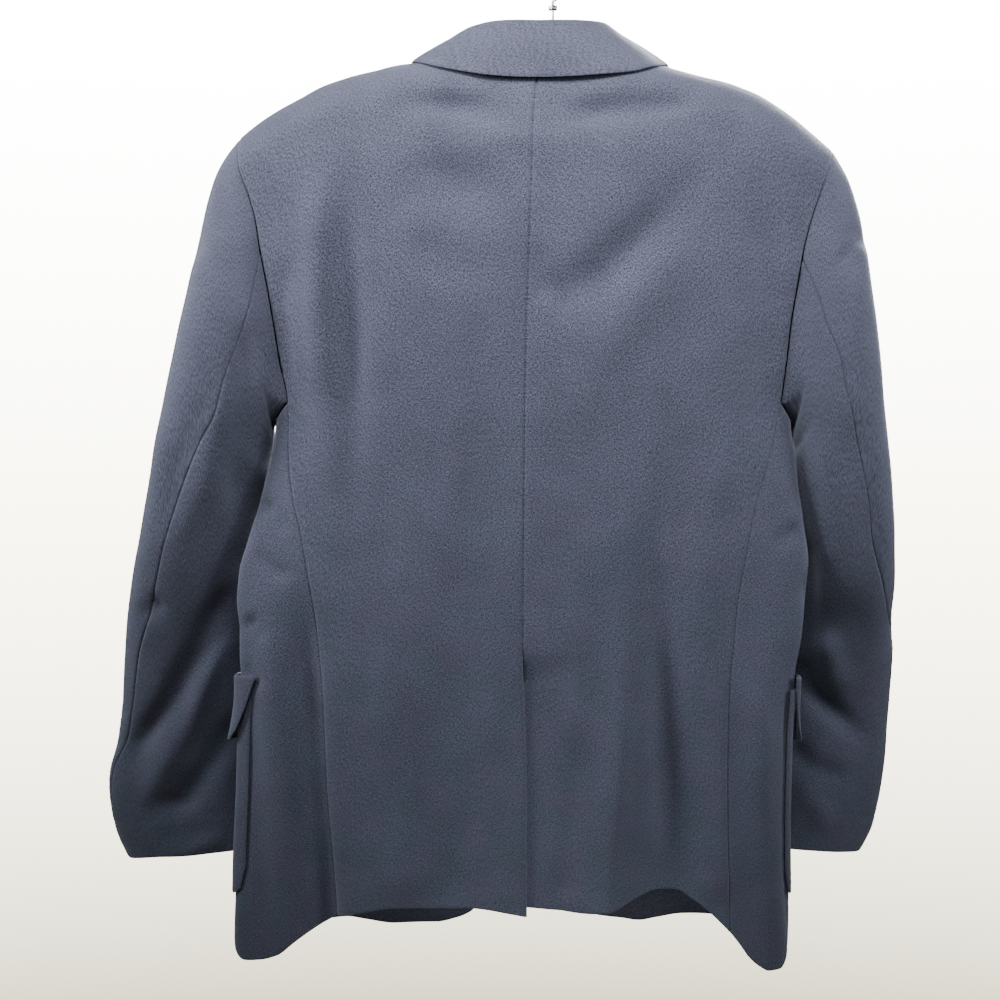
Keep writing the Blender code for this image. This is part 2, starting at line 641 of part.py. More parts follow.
class Panel:
    """A wall of cloth over a grid of outer points, given as columns."""

    def __init__(self, name, columns, centre, thickness=CLOTH):
        self.name = name
        self.columns = columns
        self.thickness = thickness
        self.normals = self._normals(centre)
        self.insets = [[-n * thickness for n in column] for column in self.normals]
        self.shifts = [[Vector() for _ in column] for column in columns]

    def _step(self, column, row, across):
        columns = self.columns
        if across:
            low, high = max(column - 1, 0), min(column + 1, len(columns) - 1)
            return columns[high][row] - columns[low][row]
        low, high = max(row - 1, 0), min(row + 1, len(columns[0]) - 1)
        return columns[column][high] - columns[column][low]

    def _normals(self, centre):
        normals = []
        balance = 0.0
        for c, column in enumerate(self.columns):
            line = []
            for r, point in enumerate(column):
                normal = self._step(c, r, True).cross(self._step(c, r, False)).normalized()
                balance += normal.dot((point - centre).normalized())
                line.append(normal)
            normals.append(line)
        sign = 1 if balance > 0 else -1
        return [[n * sign for n in line] for line in normals]

    def rim(self):
        """Grid places along the four edges."""
        last_column, last_row = len(self.columns) - 1, len(self.columns[0]) - 1
        return [(c, r) for c in range(last_column + 1) for r in range(last_row + 1)
                if c in (0, last_column) or r in (0, last_row)]

    def draw_back(self, c, r, normal):
        """Move a rim point off the seam, into its own panel."""
        columns = self.columns
        last_column, last_row = len(columns) - 1, len(columns[0]) - 1
        shift = Vector()
        if c in (0, last_column):
            tangent = self._step(c, r, False)
            inward = columns[1 if c == 0 else c - 1][r] - columns[c][r]
            shift += self._square_to(tangent, normal, inward)
        if r in (0, last_row):
            tangent = self._step(c, r, True)
            inward = columns[c][1 if r == 0 else r - 1] - columns[c][r]
            shift += self._square_to(tangent, normal, inward)
        self.shifts[c][r] = shift * SEAM_GAP / 2

    @staticmethod
    def _square_to(tangent, normal, inward):
        square = tangent.cross(normal).normalized()
        return square if square.dot(inward) > 0 else -square

    def build(self, colour, roughness=0.9):
        """Make the closed mesh object."""
        rows = len(self.columns[0])
        outer, inner = [], []
        for c, column in enumerate(self.columns):
            for r, point in enumerate(column):
                moved = point + self.shifts[c][r]
                outer.append(moved)
                inner.append(moved + self.insets[c][r])
        count = len(outer)
        faces = []
        for c in range(len(self.columns) - 1):
            for r in range(rows - 1):
                a, b = c * rows + r, (c + 1) * rows + r
                faces.append((a, b, b + 1, a + 1))
                faces.append((count + a, count + a + 1, count + b + 1, count + b))
        flat = [point for column in self.columns for point in column]
        for a, b in self._rim_edges(rows):
            if tuple(flat[a]) < tuple(flat[b]):
                faces += [(b, a, count + b), (a, count + a, count + b)]
            else:
                faces += [(b, a, count + a), (b, count + a, count + b)]
        return make_object(self.name, outer + inner, faces, colour, roughness)

    def _rim_edges(self, rows):
        last = len(self.columns) - 1
        for c in range(last):
            yield c * rows, (c + 1) * rows
            yield (c + 1) * rows + rows - 1, c * rows + rows - 1
        for r in range(rows - 1):
            yield r + 1, r
            yield last * rows + r, last * rows + r + 1


def sew(panels):
    """Give panels that share a seam point one mitred wall direction and part them at the seam."""
    shared = {}
    for panel in panels:
        for c, r in panel.rim():
            point = panel.columns[c][r]
            key = tuple(round(value, 2) for value in point)
            shared.setdefault(key, []).append((panel, c, r))
    for places in shared.values():
        if len({panel.name for panel, _, _ in places}) < 2:
            continue
        normals = [panel.normals[c][r] for panel, c, r in places]
        mitre = sum(normals, Vector()).normalized()
        reach = max(MITRE_LEAST, min(mitre.dot(normal) for normal in normals))
        for panel, c, r in places:
            panel.insets[c][r] = -mitre * panel.thickness / reach
            panel.draw_back(c, r, mitre)


def make_object(name, points, faces, colour, roughness, metallic=0.0):
    """A closed mesh object from points in millimetres, with its own material."""
    mesh = bpy.data.meshes.new(name)
    mesh.from_pydata([tuple(point * MM) for point in points], [], faces)
    work = bmesh.new()
    work.from_mesh(mesh)
    bmesh.ops.recalc_face_normals(work, faces=work.faces)
    work.to_mesh(mesh)
    work.free()
    mesh.shade_smooth()
    mesh.set_sharp_from_angle(angle=math.radians(SHARP_ANGLE))
    material = bpy.data.materials.new(name)
    material.use_nodes = True
    shader = material.node_tree.nodes["Principled BSDF"]
    shader.inputs["Base Color"].default_value = colour
    shader.inputs["Roughness"].default_value = roughness
    shader.inputs["Metallic"].default_value = metallic
    mesh.materials.append(material)
    made = bpy.data.objects.new(name, mesh)
    bpy.context.scene.collection.objects.link(made)
    return made


def make_tube(name, path, sections, colour, roughness, metallic):
    """A closed tube through the points of a path, with one ring of offsets at each point."""
    points, faces = [], []
    sides = len(sections[0])
    for centre, section in zip(path, sections):
        points += [centre + offset for offset in section]
    for ring in range(len(path) - 1):
        for side in range(sides):
            a, b = ring * sides + side, ring * sides + (side + 1) % sides
            faces.append((a, b, b + sides, a + sides))
    faces.append(tuple(range(sides - 1, -1, -1)))
    last = (len(path) - 1) * sides
    faces.append(tuple(range(last, last + sides)))
    return make_object(name, points, faces, colour, roughness, metallic)


def build_buttons(body):
    """The two front buttons, on the left front just over its lap."""
    for number, height in enumerate(BUTTON_HEIGHTS, start=1):
        face = body.front_point(0, height)
        work = bmesh.new()
        depth = BUTTON_THICKNESS
        bmesh.ops.create_cone(work, cap_ends=True, segments=BUTTON_SIDES, radius1=BUTTON_RADIUS,
                              radius2=BUTTON_RADIUS, depth=depth)
        rim = [edge for edge in work.edges if abs(edge.verts[0].co.z - edge.verts[1].co.z) < 0.01]
        bmesh.ops.bevel(work, geom=rim, offset=BUTTON_ROUNDING, segments=2, affect="EDGES", profile=0.5)
        work.verts.ensure_lookup_table()
        middle = face - Vector((0, depth / 2 + SEAM_GAP, 0))
        points = [Vector((v.co.x, -v.co.z, v.co.y)) + middle for v in work.verts]
        faces = [tuple(v.index for v in f.verts) for f in work.faces]
        work.free()
        make_object(f"button_{number}", points, faces, BUTTON_BROWN, 0.35)


def hanger_path():
    """Centre points of the hanger's arms from right tip to left tip, under the shoulder ridge."""
    path = []
    for station in range(HANGER_STATIONS + 1):
        share = 2 * station / HANGER_STATIONS - 1
        side = LEFT if share > 0 else RIGHT
        across = abs(share) * HANGER_TIPS[side]
        ridge = Curve(RIDGES[side], "across", "height")
        height = ridge(max(across, NECK_POINT)) - HANGER_DROP
        rise = smoothstep((NECK_POINT - across) / NECK_POINT)
        height += rise * (STEM_FOOT - SEAM_GAP - HANGER_HALF_HEIGHT - height)
        x = NECK_CENTRE_X * smoothstep(across / NECK_POINT) + side * across
        path.append(Vector((x, RIDGES[side][0].y * smoothstep(across / NECK_POINT), height)))
    return path


def build_hanger():
    """The plain contoured hanger inside the shoulders."""
    path = hanger_path()
    sections = []
    for index, _ in enumerate(path):
        ahead = path[min(index + 1, len(path) - 1)] - path[max(index - 1, 0)]
        ahead.normalize()
        deep = Vector((0, 1, 0))
        tall = ahead.cross(deep).normalized()
        from_tip = min(index, len(path) - 1 - index)
        size = min(1.0, HANGER_TIP_SIZE + HANGER_SIZE_STEP * from_tip)
        ring = []
        for side in range(HANGER_SIDES):
            turn = 2 * math.pi * side / HANGER_SIDES
            ring.append(deep * HANGER_HALF_DEPTH * size * math.cos(turn)
                        + tall * HANGER_HALF_HEIGHT * size * math.sin(turn))
        sections.append(ring)
    make_tube("hanger_arms", path, sections, HANGER_BLACK, 0.45, 0.0)


def hook_path():
    """The wire's centre line, from the crook's tip over the top and down the stem."""
    radius = HOOK_INNER_RADIUS + WIRE_RADIUS
    centre = Vector((0, 0, -HOOK_INNER_RADIUS))
    path = []
    for step in range(HOOK_STEPS + 1):
        turn = math.radians(lerp(HOOK_TIP_ANGLE, HOOK_NECK_ANGLE, step / HOOK_STEPS))
        path.append(centre + Vector((-radius * math.cos(turn), 0, radius * math.sin(turn))))
    neck = path[-1]
    bend_foot = Vector((0, 0, FERRULE_TOP + 1))
    for step in range(1, HOOK_BEND_STEPS + 1):
        share = step / HOOK_BEND_STEPS
        x = neck.x * (1 - share) ** HOOK_BEND_POWER
        path.append(Vector((x, 0, lerp(neck.z, bend_foot.z, share))))
    stem = [Vector((0, 0, lerp(bend_foot.z, STEM_FOOT, step / STEM_STEPS)))
            for step in range(1, STEM_STEPS + 1)]
    return path + stem


def build_hook():
    """The steel hook and the small ferrule round its stem."""
    path = hook_path()
    sections = []
    for index, _ in enumerate(path):
        ahead = (path[min(index + 1, len(path) - 1)] - path[max(index - 1, 0)]).normalized()
        deep = Vector((0, 1, 0))
        tall = ahead.cross(deep).normalized()
        turns = [2 * math.pi * side / WIRE_SIDES for side in range(WIRE_SIDES)]
        sections.append([(deep * math.cos(t) + tall * math.sin(t)) * WIRE_RADIUS for t in turns])
    make_tube("hanger_hook", path, sections, STEEL, 0.3, 1.0)
    bore = WIRE_RADIUS + SEAM_GAP
    profile = ((bore, 0), (FERRULE_RADIUS, 0), (FERRULE_RADIUS, -FERRULE_HEIGHT), (bore, -FERRULE_HEIGHT))
    points, faces = [], []
    for side in range(FERRULE_SIDES):
        turn = 2 * math.pi * side / FERRULE_SIDES
        for reach, drop in profile:
            points.append(Vector((reach * math.cos(turn), reach * math.sin(turn), FERRULE_TOP + drop)))
    for side in range(FERRULE_SIDES):
        a, b = side * 4, (side + 1) % FERRULE_SIDES * 4
        faces += [(a + i, b + i, b + (i + 1) % 4, a + (i + 1) % 4) for i in range(4)]
    make_object("hook_ferrule", points, faces, STEEL, 0.3, 1.0)


def build_blazer():
    """All the cloth panels, sewn at their shared seams, and what lies on them."""
    sewn, laid = [], []
    inside = Vector(CHEST_MIDDLE)
    for side in (LEFT, RIGHT):
        body = Body(side)
        name = SIDE_NAMES[side]
        back, side_panel, front = back_grid(body), side_grid(body), front_grid(body)
        loop = armhole_loop(back, side_panel, front)
        top, under = sleeve_grids(body, loop)
        arm = body.place(*ARM_MIDDLE)
        sewn += [Panel(f"back_{name}", back, inside), Panel(f"side_panel_{name}", side_panel, inside),
                 Panel(f"front_{name}", front, inside), Panel(f"top_sleeve_{name}", top, arm),
                 Panel(f"under_sleeve_{name}", under, arm)]
        laid.append(Panel(f"lapel_{name}", lapel_grid(body), inside))
        pocket = patch_grid(body, POCKETS[side], POCKET_ROWS, POCKET_LIFT, 0.0, POCKET_CORNER)
        laid.append(Panel(f"pocket_{name}", pocket, inside))
        flap = patch_grid(body, FLAPS[side], FLAP_ROWS, FLAP_LIFT, FLAP_KICK, FLAP_CORNER)
        laid.append(Panel(f"pocket_flap_{name}", flap, inside))
    laid.append(Panel("collar", collar_grid(), Vector((NECK_CENTRE_X, 0, -110))))
    sew(sewn)
    for panel in sewn + laid:
        panel.build(NAVY)
    build_buttons(Body(LEFT))


def main():
    """Clear the scene and build the blazer and its hanger."""
    for existing in list(bpy.data.objects):
        bpy.data.objects.remove(existing)
    build_blazer()
    build_hanger()
    build_hook()


main()
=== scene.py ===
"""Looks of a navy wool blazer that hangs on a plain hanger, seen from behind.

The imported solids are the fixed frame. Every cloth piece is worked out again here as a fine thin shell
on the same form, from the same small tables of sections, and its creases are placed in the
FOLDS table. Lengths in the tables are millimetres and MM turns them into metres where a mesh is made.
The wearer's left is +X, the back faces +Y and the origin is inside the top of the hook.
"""

from __future__ import annotations

import logging
import math
from dataclasses import dataclass, field
from enum import Enum
from typing import NamedTuple, Sequence

import bmesh
import bpy
import numpy as np
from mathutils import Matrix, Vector

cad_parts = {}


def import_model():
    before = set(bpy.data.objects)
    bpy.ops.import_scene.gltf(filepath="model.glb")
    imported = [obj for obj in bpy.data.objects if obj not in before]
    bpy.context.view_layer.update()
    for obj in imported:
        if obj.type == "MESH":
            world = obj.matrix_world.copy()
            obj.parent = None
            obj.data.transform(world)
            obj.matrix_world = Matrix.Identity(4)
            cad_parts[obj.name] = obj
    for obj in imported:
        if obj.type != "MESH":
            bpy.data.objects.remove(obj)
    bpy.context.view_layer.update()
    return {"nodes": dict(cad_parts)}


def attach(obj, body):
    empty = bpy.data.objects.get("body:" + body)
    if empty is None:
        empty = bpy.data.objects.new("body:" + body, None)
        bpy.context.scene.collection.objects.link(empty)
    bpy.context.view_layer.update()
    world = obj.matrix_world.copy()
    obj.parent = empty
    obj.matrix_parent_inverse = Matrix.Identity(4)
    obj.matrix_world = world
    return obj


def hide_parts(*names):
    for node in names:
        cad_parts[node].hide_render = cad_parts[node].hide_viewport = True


LOG = logging.getLogger("blazer")
MM = 0.001

Values = np.ndarray | float
Spot = tuple[float, float, float]
Colour = tuple[float, float, float, float]


class Side(Enum):
    """The wearer's side. Its value is the sign of X."""

    LEFT = 1
    RIGHT = -1

    @property
    def word(self) -> str:
        """The side's name inside a piece's name."""
        return self.name.lower()


class Region(Enum):
    """Where on the blazer a fold lies, so that it bends no other piece behind it."""

    BACK = "back"
    FRONT = "front"
    LEFT_SLEEVE = "left sleeve, seen from behind"
    RIGHT_SLEEVE = "right sleeve, seen from behind"
    LEFT_SLEEVE_FRONT = "left sleeve, seen from the front"
    RIGHT_SLEEVE_FRONT = "right sleeve, seen from the front"


class Depth(NamedTuple):
    """Depths of the body's section at one height."""

    height: float
    back: float
    side: float
    front: float
    squareness: float


class Mark(NamedTuple):
    """A measure at one height, or a height at one distance across."""

    at: float
    value: float


class Top(NamedTuple):
    """A point on the neck or the shoulder ridge."""

    across: float
    y: float
    height: float


class SleeveRing(NamedTuple):
    """One section of a sleeve. The seams are angles round it."""

    outer_across: float
    outer_height: float
    inner_across: float
    inner_height: float
    y: float
    half_depth: float
    lean: float
    bow: float
    hind_seam: float
    fore_seam: float


class CollarStation(NamedTuple):
    """A place along the collar: neck seam, roll line and outer edge."""

    base: Spot
    roll: Spot
    edge: Spot


class PatchPlace(NamedTuple):
    """Angles round the body and heights of a pocket or a flap."""

    rear_angle: float
    fore_angle: float
    rear_slant: float
    top: float
    foot: float


class PatchSize(NamedTuple):
    """Grid and standing of a pocket or a flap."""

    columns: int
    rows: int
    lift: float
    kick: float
    corner: float


def make_rows(kind: type, *values: tuple) -> tuple:
    """A table's rows, each made from its plain values."""
    return tuple(kind(*value) for value in values)


# Thickness of the cloth as it is drawn, and of the solids' walls with the gap at their seams
CLOTH = 1.8
WALL = 2.0
SEAM_GAP = 0.3

# Points inside the body, a sleeve and the neck, from which the cloth's outer side faces away
CHEST_MIDDLE = (26.4, 0, -450)
ARM_MIDDLE = (300, -20, -500)
NECK_MIDDLE = (16, 0, -110)

# Body sections: depth of the back, the side edge and the front at each height
DEPTHS = make_rows(
    Depth,
    (-90, 50, -6, -36, 2.4),
    (-130, 54, -6, -46, 2.4),
    (-160, 59, -5, -53, 2.4),
    (-200, 64, -4, -60, 2.4),
    (-300, 62, -3, -63, 2.5),
    (-400, 57, 0, -62, 2.6),
    (-500, 50, 8, -60, 2.6),
    (-600, 48, 17, -58, 2.6),
    (-660, 49, 21, -57, 2.6),
    (-750, 53, 23, -56, 2.6),
    (-830, 58, 25, -55, 2.5),
    (-920, 61, 27, -55, 2.4),
)

# Half width of the body, which the sleeve hides above the armpit
WIDTHS = {
    Side.LEFT: make_rows(
        Mark, (-90, 302), (-175, 300), (-221, 290), (-267, 278), (-320, 258), (-375, 237), (-408, 226),
        (-430, 226), (-450, 229), (-495, 239), (-532, 249), (-560, 256), (-586, 257), (-613, 254),
        (-658, 254), (-712, 257), (-765, 259), (-820, 261), (-920, 262),
    ),
    Side.RIGHT: make_rows(
        Mark, (-90, 310), (-178, 308), (-225, 298), (-272, 286), (-320, 268), (-375, 251), (-408, 243),
        (-430, 243), (-450, 246), (-480, 249), (-513, 254), (-550, 258), (-586, 255), (-622, 251),
        (-658, 244), (-721, 237), (-793, 235), (-856, 235), (-920, 234),
    ),
}

# The centre back seam's place in X
CENTRE_LINE = make_rows(
    Mark, (-60, 14.5), (-120, 16), (-160, 19.3), (-232, 21.5), (-320, 24.7), (-407, 26.4), (-495, 27.2),
    (-584, 28), (-628, 28.2), (-690, 26), (-760, 24.8), (-920, 24.6),
)

# Top of the body: the back neck, and past the neck point the shoulder ridge
NECK_POINT = 76
NECK = make_rows(Top, (0, 31, -99), (19, 30, -99), (38, 25, -97.5), (57, 12, -93.5), (76, -6, -90))
RIDGES = {
    Side.LEFT: make_rows(
        Top, (76, -6, -90), (111, -6, -96.5), (122, -6, -97.5), (150, -6, -103.5), (172, -6, -109.5),
        (195, -6, -117.5), (216, -6, -129), (244, -6, -146.5), (267, -6, -165),
    ),
    Side.RIGHT: make_rows(
        Top, (76, -6, -90), (111, -6, -97), (124, -6, -101), (152, -6, -109), (175, -6, -114.5),
        (198, -6, -122), (224, -6, -137), (243, -6, -150.5), (265, -6, -167.5), (275, -6, -176),
    ),
}
# Drop from the ridge over which the cloth turns down into the back and the front
RIDGE_ROLL = 46

# The back armhole, then the seam between back and side panel
BACK_EDGES = {
    Side.LEFT: make_rows(
        Mark, (-165, 267), (-198, 262), (-221, 253), (-244, 245.5), (-267, 241), (-285, 237), (-307, 232),
        (-339, 226), (-375, 220), (-408, 213.5), (-464, 211), (-495, 206.5), (-525, 199), (-570, 191),
        (-606, 185), (-651, 181), (-692, 180), (-753, 178), (-821, 172), (-865, 169),
    ),
    Side.RIGHT: make_rows(
        Mark, (-176, 275), (-205, 265), (-225, 258), (-248, 251), (-272, 246), (-307, 241.5), (-333, 238),
        (-357, 236), (-382, 234), (-408, 231), (-461, 218.5), (-505, 205.5), (-543, 198.5), (-584, 191.5),
        (-622, 188), (-657, 183), (-709, 178.5), (-761, 177.5), (-814, 178), (-877, 180),
    ),
}
# The front armhole, then the seam between side panel and front
FRONT_EDGES = {
    Side.LEFT: make_rows(
        Mark, (-165, 267), (-198, 256), (-221, 244), (-244, 235), (-285, 223), (-320, 217), (-350, 213),
        (-380, 210.5), (-408, 209), (-500, 212), (-600, 210), (-700, 206), (-906, 203),
    ),
    Side.RIGHT: make_rows(
        Mark, (-176, 275), (-205, 262), (-225, 251), (-248, 242), (-283, 233), (-320, 228), (-350, 226),
        (-380, 225), (-408, 225), (-500, 222), (-600, 212), (-700, 199), (-906, 192),
    ),
}
# The armpit, and how far the armhole sags below it under the arm
ARMPIT_HEIGHT = -408
ARMPIT_DROP = 16

# The front's own edge: neck, lapel roll line, straight edge and cutaway
ROLL_LINE_TOP = -152
ROLL_LINE_FOOT = -508
FRONT_OPENING = make_rows(
    Mark, (-90, 76), (-112, 76), (-132, 72), (-152, 66), (-240, 45.5), (-330, 24.5), (-420, 3.5),
    (-508, -17), (-560, -20), (-620, -20), (-670, -15), (-720, -6), (-770, 7), (-820, 22), (-850, 32),
    (-876, 43),
)
# How far the left front stands off where it laps over the right front and its lapel
LAP_LIFTS = make_rows(Mark, (-360, 0), (-420, 8.4), (-515, 8.4), (-570, 4.2), (-640, 3.7), (-880, 3.6))
# Distances across within which the lap stands off in full, and beyond which it doesn't
LAP_FULL = 24
LAP_FADE = 60

# Hems, measured across from the centre line
HEMS = {
    Side.LEFT: {
        "back": make_rows(Mark, (0, -863), (55, -855), (112, -855.5), (169, -864.5)),
        "side": make_rows(
            Mark, (0.0, -864.5), (0.07, -876), (0.127, -887), (0.19, -899), (0.27, -904), (0.377, -905.5),
            (0.48, -900), (0.56, -890), (0.7, -885), (0.85, -887), (1.0, -893),
        ),
        "front": make_rows(
            Mark, (43, -876), (52, -884.5), (66, -890), (84, -893.5), (122, -893.5), (150, -889),
            (168, -886), (185, -887), (203, -893),
        ),
    },
    Side.RIGHT: {
        "back": make_rows(
            Mark, (0, -863), (44, -861), (74, -858), (87, -852), (100, -845), (117, -840), (136, -841),
            (146, -847), (159, -857), (180, -878),
        ),
        "side": make_rows(
            Mark, (0.0, -878), (0.045, -889), (0.093, -901), (0.15, -909), (0.22, -914), (0.33, -913.5),
            (0.42, -908), (0.53, -897), (0.7, -890), (0.85, -888), (1.0, -888),
        ),
        "front": make_rows(
            Mark, (43, -874), (52, -881), (70, -887.5), (92, -889.5), (106, -891), (122, -888), (147, -883),
            (170, -882), (192, -888),
        ),
    },
}
# The vent: its top, how far the right back reaches under the left, how deep it lies there, how wide that
# blends in, how far its hem rises, the rows it takes to step in and to reach across, and its edge's turn
VENT_TOP = -628
VENT_UNDERLAP = 38
VENT_RECESS = 4.8
VENT_BLEND = 60
VENT_RISE = 9
VENT_STEP_ROWS = 7.0
VENT_REACH_ROWS = 2
VENT_STRETCH = 30
VENT_ROLL = 2.9

# Rows of the body grid: shares of the way from shoulder to armpit, and from armpit to hem
UPPER_SHARES = (0.0, 0.03, 0.10, 0.19, 0.31, 0.45, 0.62, 0.81, 1.0)

# Sleeve sections from below the armhole to the cuff; lean is how far the inner edge lies forward
SLEEVES = {
    Side.LEFT: make_rows(
        SleeveRing,
        (284, -193, 229, -430, -2, 47, 2, 9, 92, 240),
        (292, -219, 229.5, -437, -2, 50, 5, 6, 95, 240),
        (300, -259, 229.5, -445, -4, 54, 8, 3, 95, 240),
        (307, -298, 230.5, -454, -6, 57, 11, 1, 93, 240),
        (314, -332, 231.5, -465, -8, 58, 13, 0, 92, 239),
        (321, -366, 232, -479, -10, 58, 15, 0, 90, 238),
        (328, -402, 236, -495, -13, 57, 16, 0, 84, 236),
        (336, -442, 240.5, -513, -17, 56, 17, 0, 78, 233),
        (343, -484, 246, -534, -22, 55, 17, 0, 71, 229),
        (352, -530, 252, -561, -28, 53, 16, 0, 66, 225),
        (363, -585, 252, -598, -38, 49, 12, 0, 60, 220),
        (372, -640, 248, -642, -49, 43, 6, 0, 47, 213),
        (380, -690, 243, -685, -57, 37, 0, 0, 39, 206),
        (386, -723, 239, -716, -62, 33, 0, 0, 31, 200),
        (394, -750, 236, -742, -66, 31, 0, 0, 20, 195),
        (395, -778, 233, -768, -69, 29, 0, 0, 13, 190),
        (389, -808, 231, -797, -71, 27, 0, 0, 9, 188),
        (377, -836, 230, -822, -72, 24, 0, 0, 8, 187),
    ),
    Side.RIGHT: make_rows(
        SleeveRing,
        (288, -199, 246, -430, -2, 49, 2, 9, 90, 240),
        (297, -226, 246, -437, -2, 52, 5, 6, 92, 240),
        (305, -259, 246, -445, -4, 57, 8, 3, 91, 240),
        (311, -294, 246.5, -454, -6, 60, 11, 1, 89, 240),
        (317, -328, 245, -465, -8, 61, 13, 0, 88, 239),
        (322, -362, 246, -479, -10, 61, 15, 0, 84, 238),
        (327, -400, 248, -495, -13, 60, 16, 0, 81, 236),
        (332, -442, 250, -513, -17, 59, 17, 0, 76, 232),
        (336, -484, 252.5, -534, -22, 58, 17, 0, 70, 228),
        (341, -530, 253, -561, -30, 55, 15, 0, 66, 222),
        (347, -582, 249, -592, -44, 48, 10, 0, 47, 212),
        (351, -632, 240, -628, -60, 41, 4, 0, 10, 196),
        (350, -676, 228, -665, -71, 35, 0, 0, -4, 186),
        (347, -712, 217, -700, -77, 31, 0, 0, -10, 180),
        (345, -744, 208, -732, -80, 29, 0, 0, -12, 178),
        (341, -775, 201, -763, -81, 27, 0, 0, -12, 177),
        (334, -806, 194, -794, -81, 25, 0, 0, -12, 176),
        (322, -832, 189, -821, -81, 23, 0, 0, -12, 176),
    ),
}
# Places round a sleeve: how many there are, those of its seams, and those that lie under the arm
RING_STEPS = 22
HIND_INDEX = 5
FORE_INDEX = 15
UNDER_STEPS = 6
SLEEVE_SQUARENESS = 2.15

# Collar stations from the centre back to the gorge: neck seam, roll line and outer edge
COLLAR = {
    Side.LEFT: make_rows(
        CollarStation,
        ((0, 31, -98.2), (0, 36, -66), (0, 56, -121.5)),
        ((19, 30, -98.2), (20, 35, -65.5), (24, 56, -121)),
        ((38, 25, -96.6), (40, 28, -64.8), (51, 54, -118)),
        ((57, 12, -92.4), (58, 14, -66), (83, 46, -110.5)),
        ((66, 4, -90.4), (69, 8, -70), (99, 34, -104)),
        ((71, -1, -88.8), (76, 3, -73), (109, 17, -98)),
        ((74, -6, -88.8), (79, -2, -75), (114, -3, -94.6)),
        ((74, -22, -95), (79, -27, -84), (122, -33, -106)),
        ((72, -37, -111), (74, -46, -103), (125, -55, -133)),
        ((69, -46, -131), (69, -56, -126), (119, -65, -169)),
        ((64, -51, -150), (63, -61, -148), (99, -67, -183)),
    ),
    Side.RIGHT: make_rows(
        CollarStation,
        ((0, 31, -98.2), (0, 36, -66), (0, 56, -121.5)),
        ((19, 30, -98.2), (20, 35, -65.5), (24, 56, -121)),
        ((38, 25, -96.6), (41, 28, -64), (51, 55, -119)),
        ((57, 12, -92.4), (60, 15, -62.5), (84, 49, -114.5)),
        ((66, 4, -90.4), (69, 8, -65.5), (101, 40, -108.5)),
        ((71, -1, -88.8), (75, 3, -69), (114, 22, -102.5)),
        ((74, -6, -88.8), (79, -2, -71.5), (122, 2, -98.6)),
        ((74, -22, -95), (79, -27, -83), (125, -31, -107)),
        ((72, -37, -111), (74, -46, -103), (125, -55, -133)),
        ((69, -46, -131), (69, -56, -126), (119, -65, -169)),
        ((64, -51, -150), (63, -61, -148), (99, -67, -183)),
    ),
}
# The collar's fold radius, how far its fall bulges, and its steps up the stand, over and down the fall
COLLAR_FOLD = 4.2
COLLAR_BULGE = 3.0
COLLAR_STAND_STEPS = 14
COLLAR_FOLD_STEPS = 12
COLLAR_FALL_STEPS = 30

# Lapel: its outer edge from the tip at the notch to the top button
LAPEL_EDGE = make_rows(
    Mark, (-214, 141), (-250, 139), (-310, 124), (-370, 98), (-430, 60), (-475, 24), (-506, -6),
)
# How far it stands off the front at its edge and at its roll, and how soon it comes down
LAPEL_LIFT = 3.4
LAPEL_ROLL = 5.2
LAPEL_TOP_GAP = 3
# The lapel's two points before the roll line, which tuck its inner edge back: lead and lift
LAPEL_TUCKS = ((-WALL - SEAM_GAP, 0.6), (0.4 - WALL - SEAM_GAP, LAPEL_ROLL - 1.2))
LAPEL_FIRST_ACROSS = 2
LAPEL_FALL_RATE = 1.6

# Patch pockets, placed on the body's outline by angle from the centre back
POCKETS = {Side.LEFT: PatchPlace(71, 143, 0, -664, -848), Side.RIGHT: PatchPlace(77, 147, 0, -666, -850)}
FLAPS = {Side.LEFT: PatchPlace(66, 144, 16, -652, -712), Side.RIGHT: PatchPlace(80, 148, 6, -654, -714)}
POCKET_SIZE = PatchSize(70, 100, 3.2, 0.0, 20)
FLAP_SIZE = PatchSize(70, 36, 6.6, 5.0, 10)
# How a corner is rounded: degrees in and share up per millimetre of corner, kept to the ends
CORNER_TURN = 0.18
CORNER_RISE = 0.7
CORNER_POWER = 6

# Buttons, with the heights of their middles
BUTTON_RADIUS = 10.5
BUTTON_THICKNESS = 4.2
BUTTON_HEIGHTS = (-520, -625)

# The hook's wire: its radius in the solid and as drawn, its crook, the bend into its stem and its foot
WIRE_RADIUS = 1.7
SEEN_WIRE_RADIUS = 1.2
HOOK_INNER_RADIUS = 19
HOOK_TIP_ANGLE = 196
HOOK_NECK_ANGLE = -42
HOOK_STEPS = 22
HOOK_BEND_STEPS = 4
HOOK_BEND_POWER = 1.6
STEM_STEPS = 3
FERRULE_TOP = -44
BEND_CLEARANCE = 3.5
STEM_FOOT = -76.3


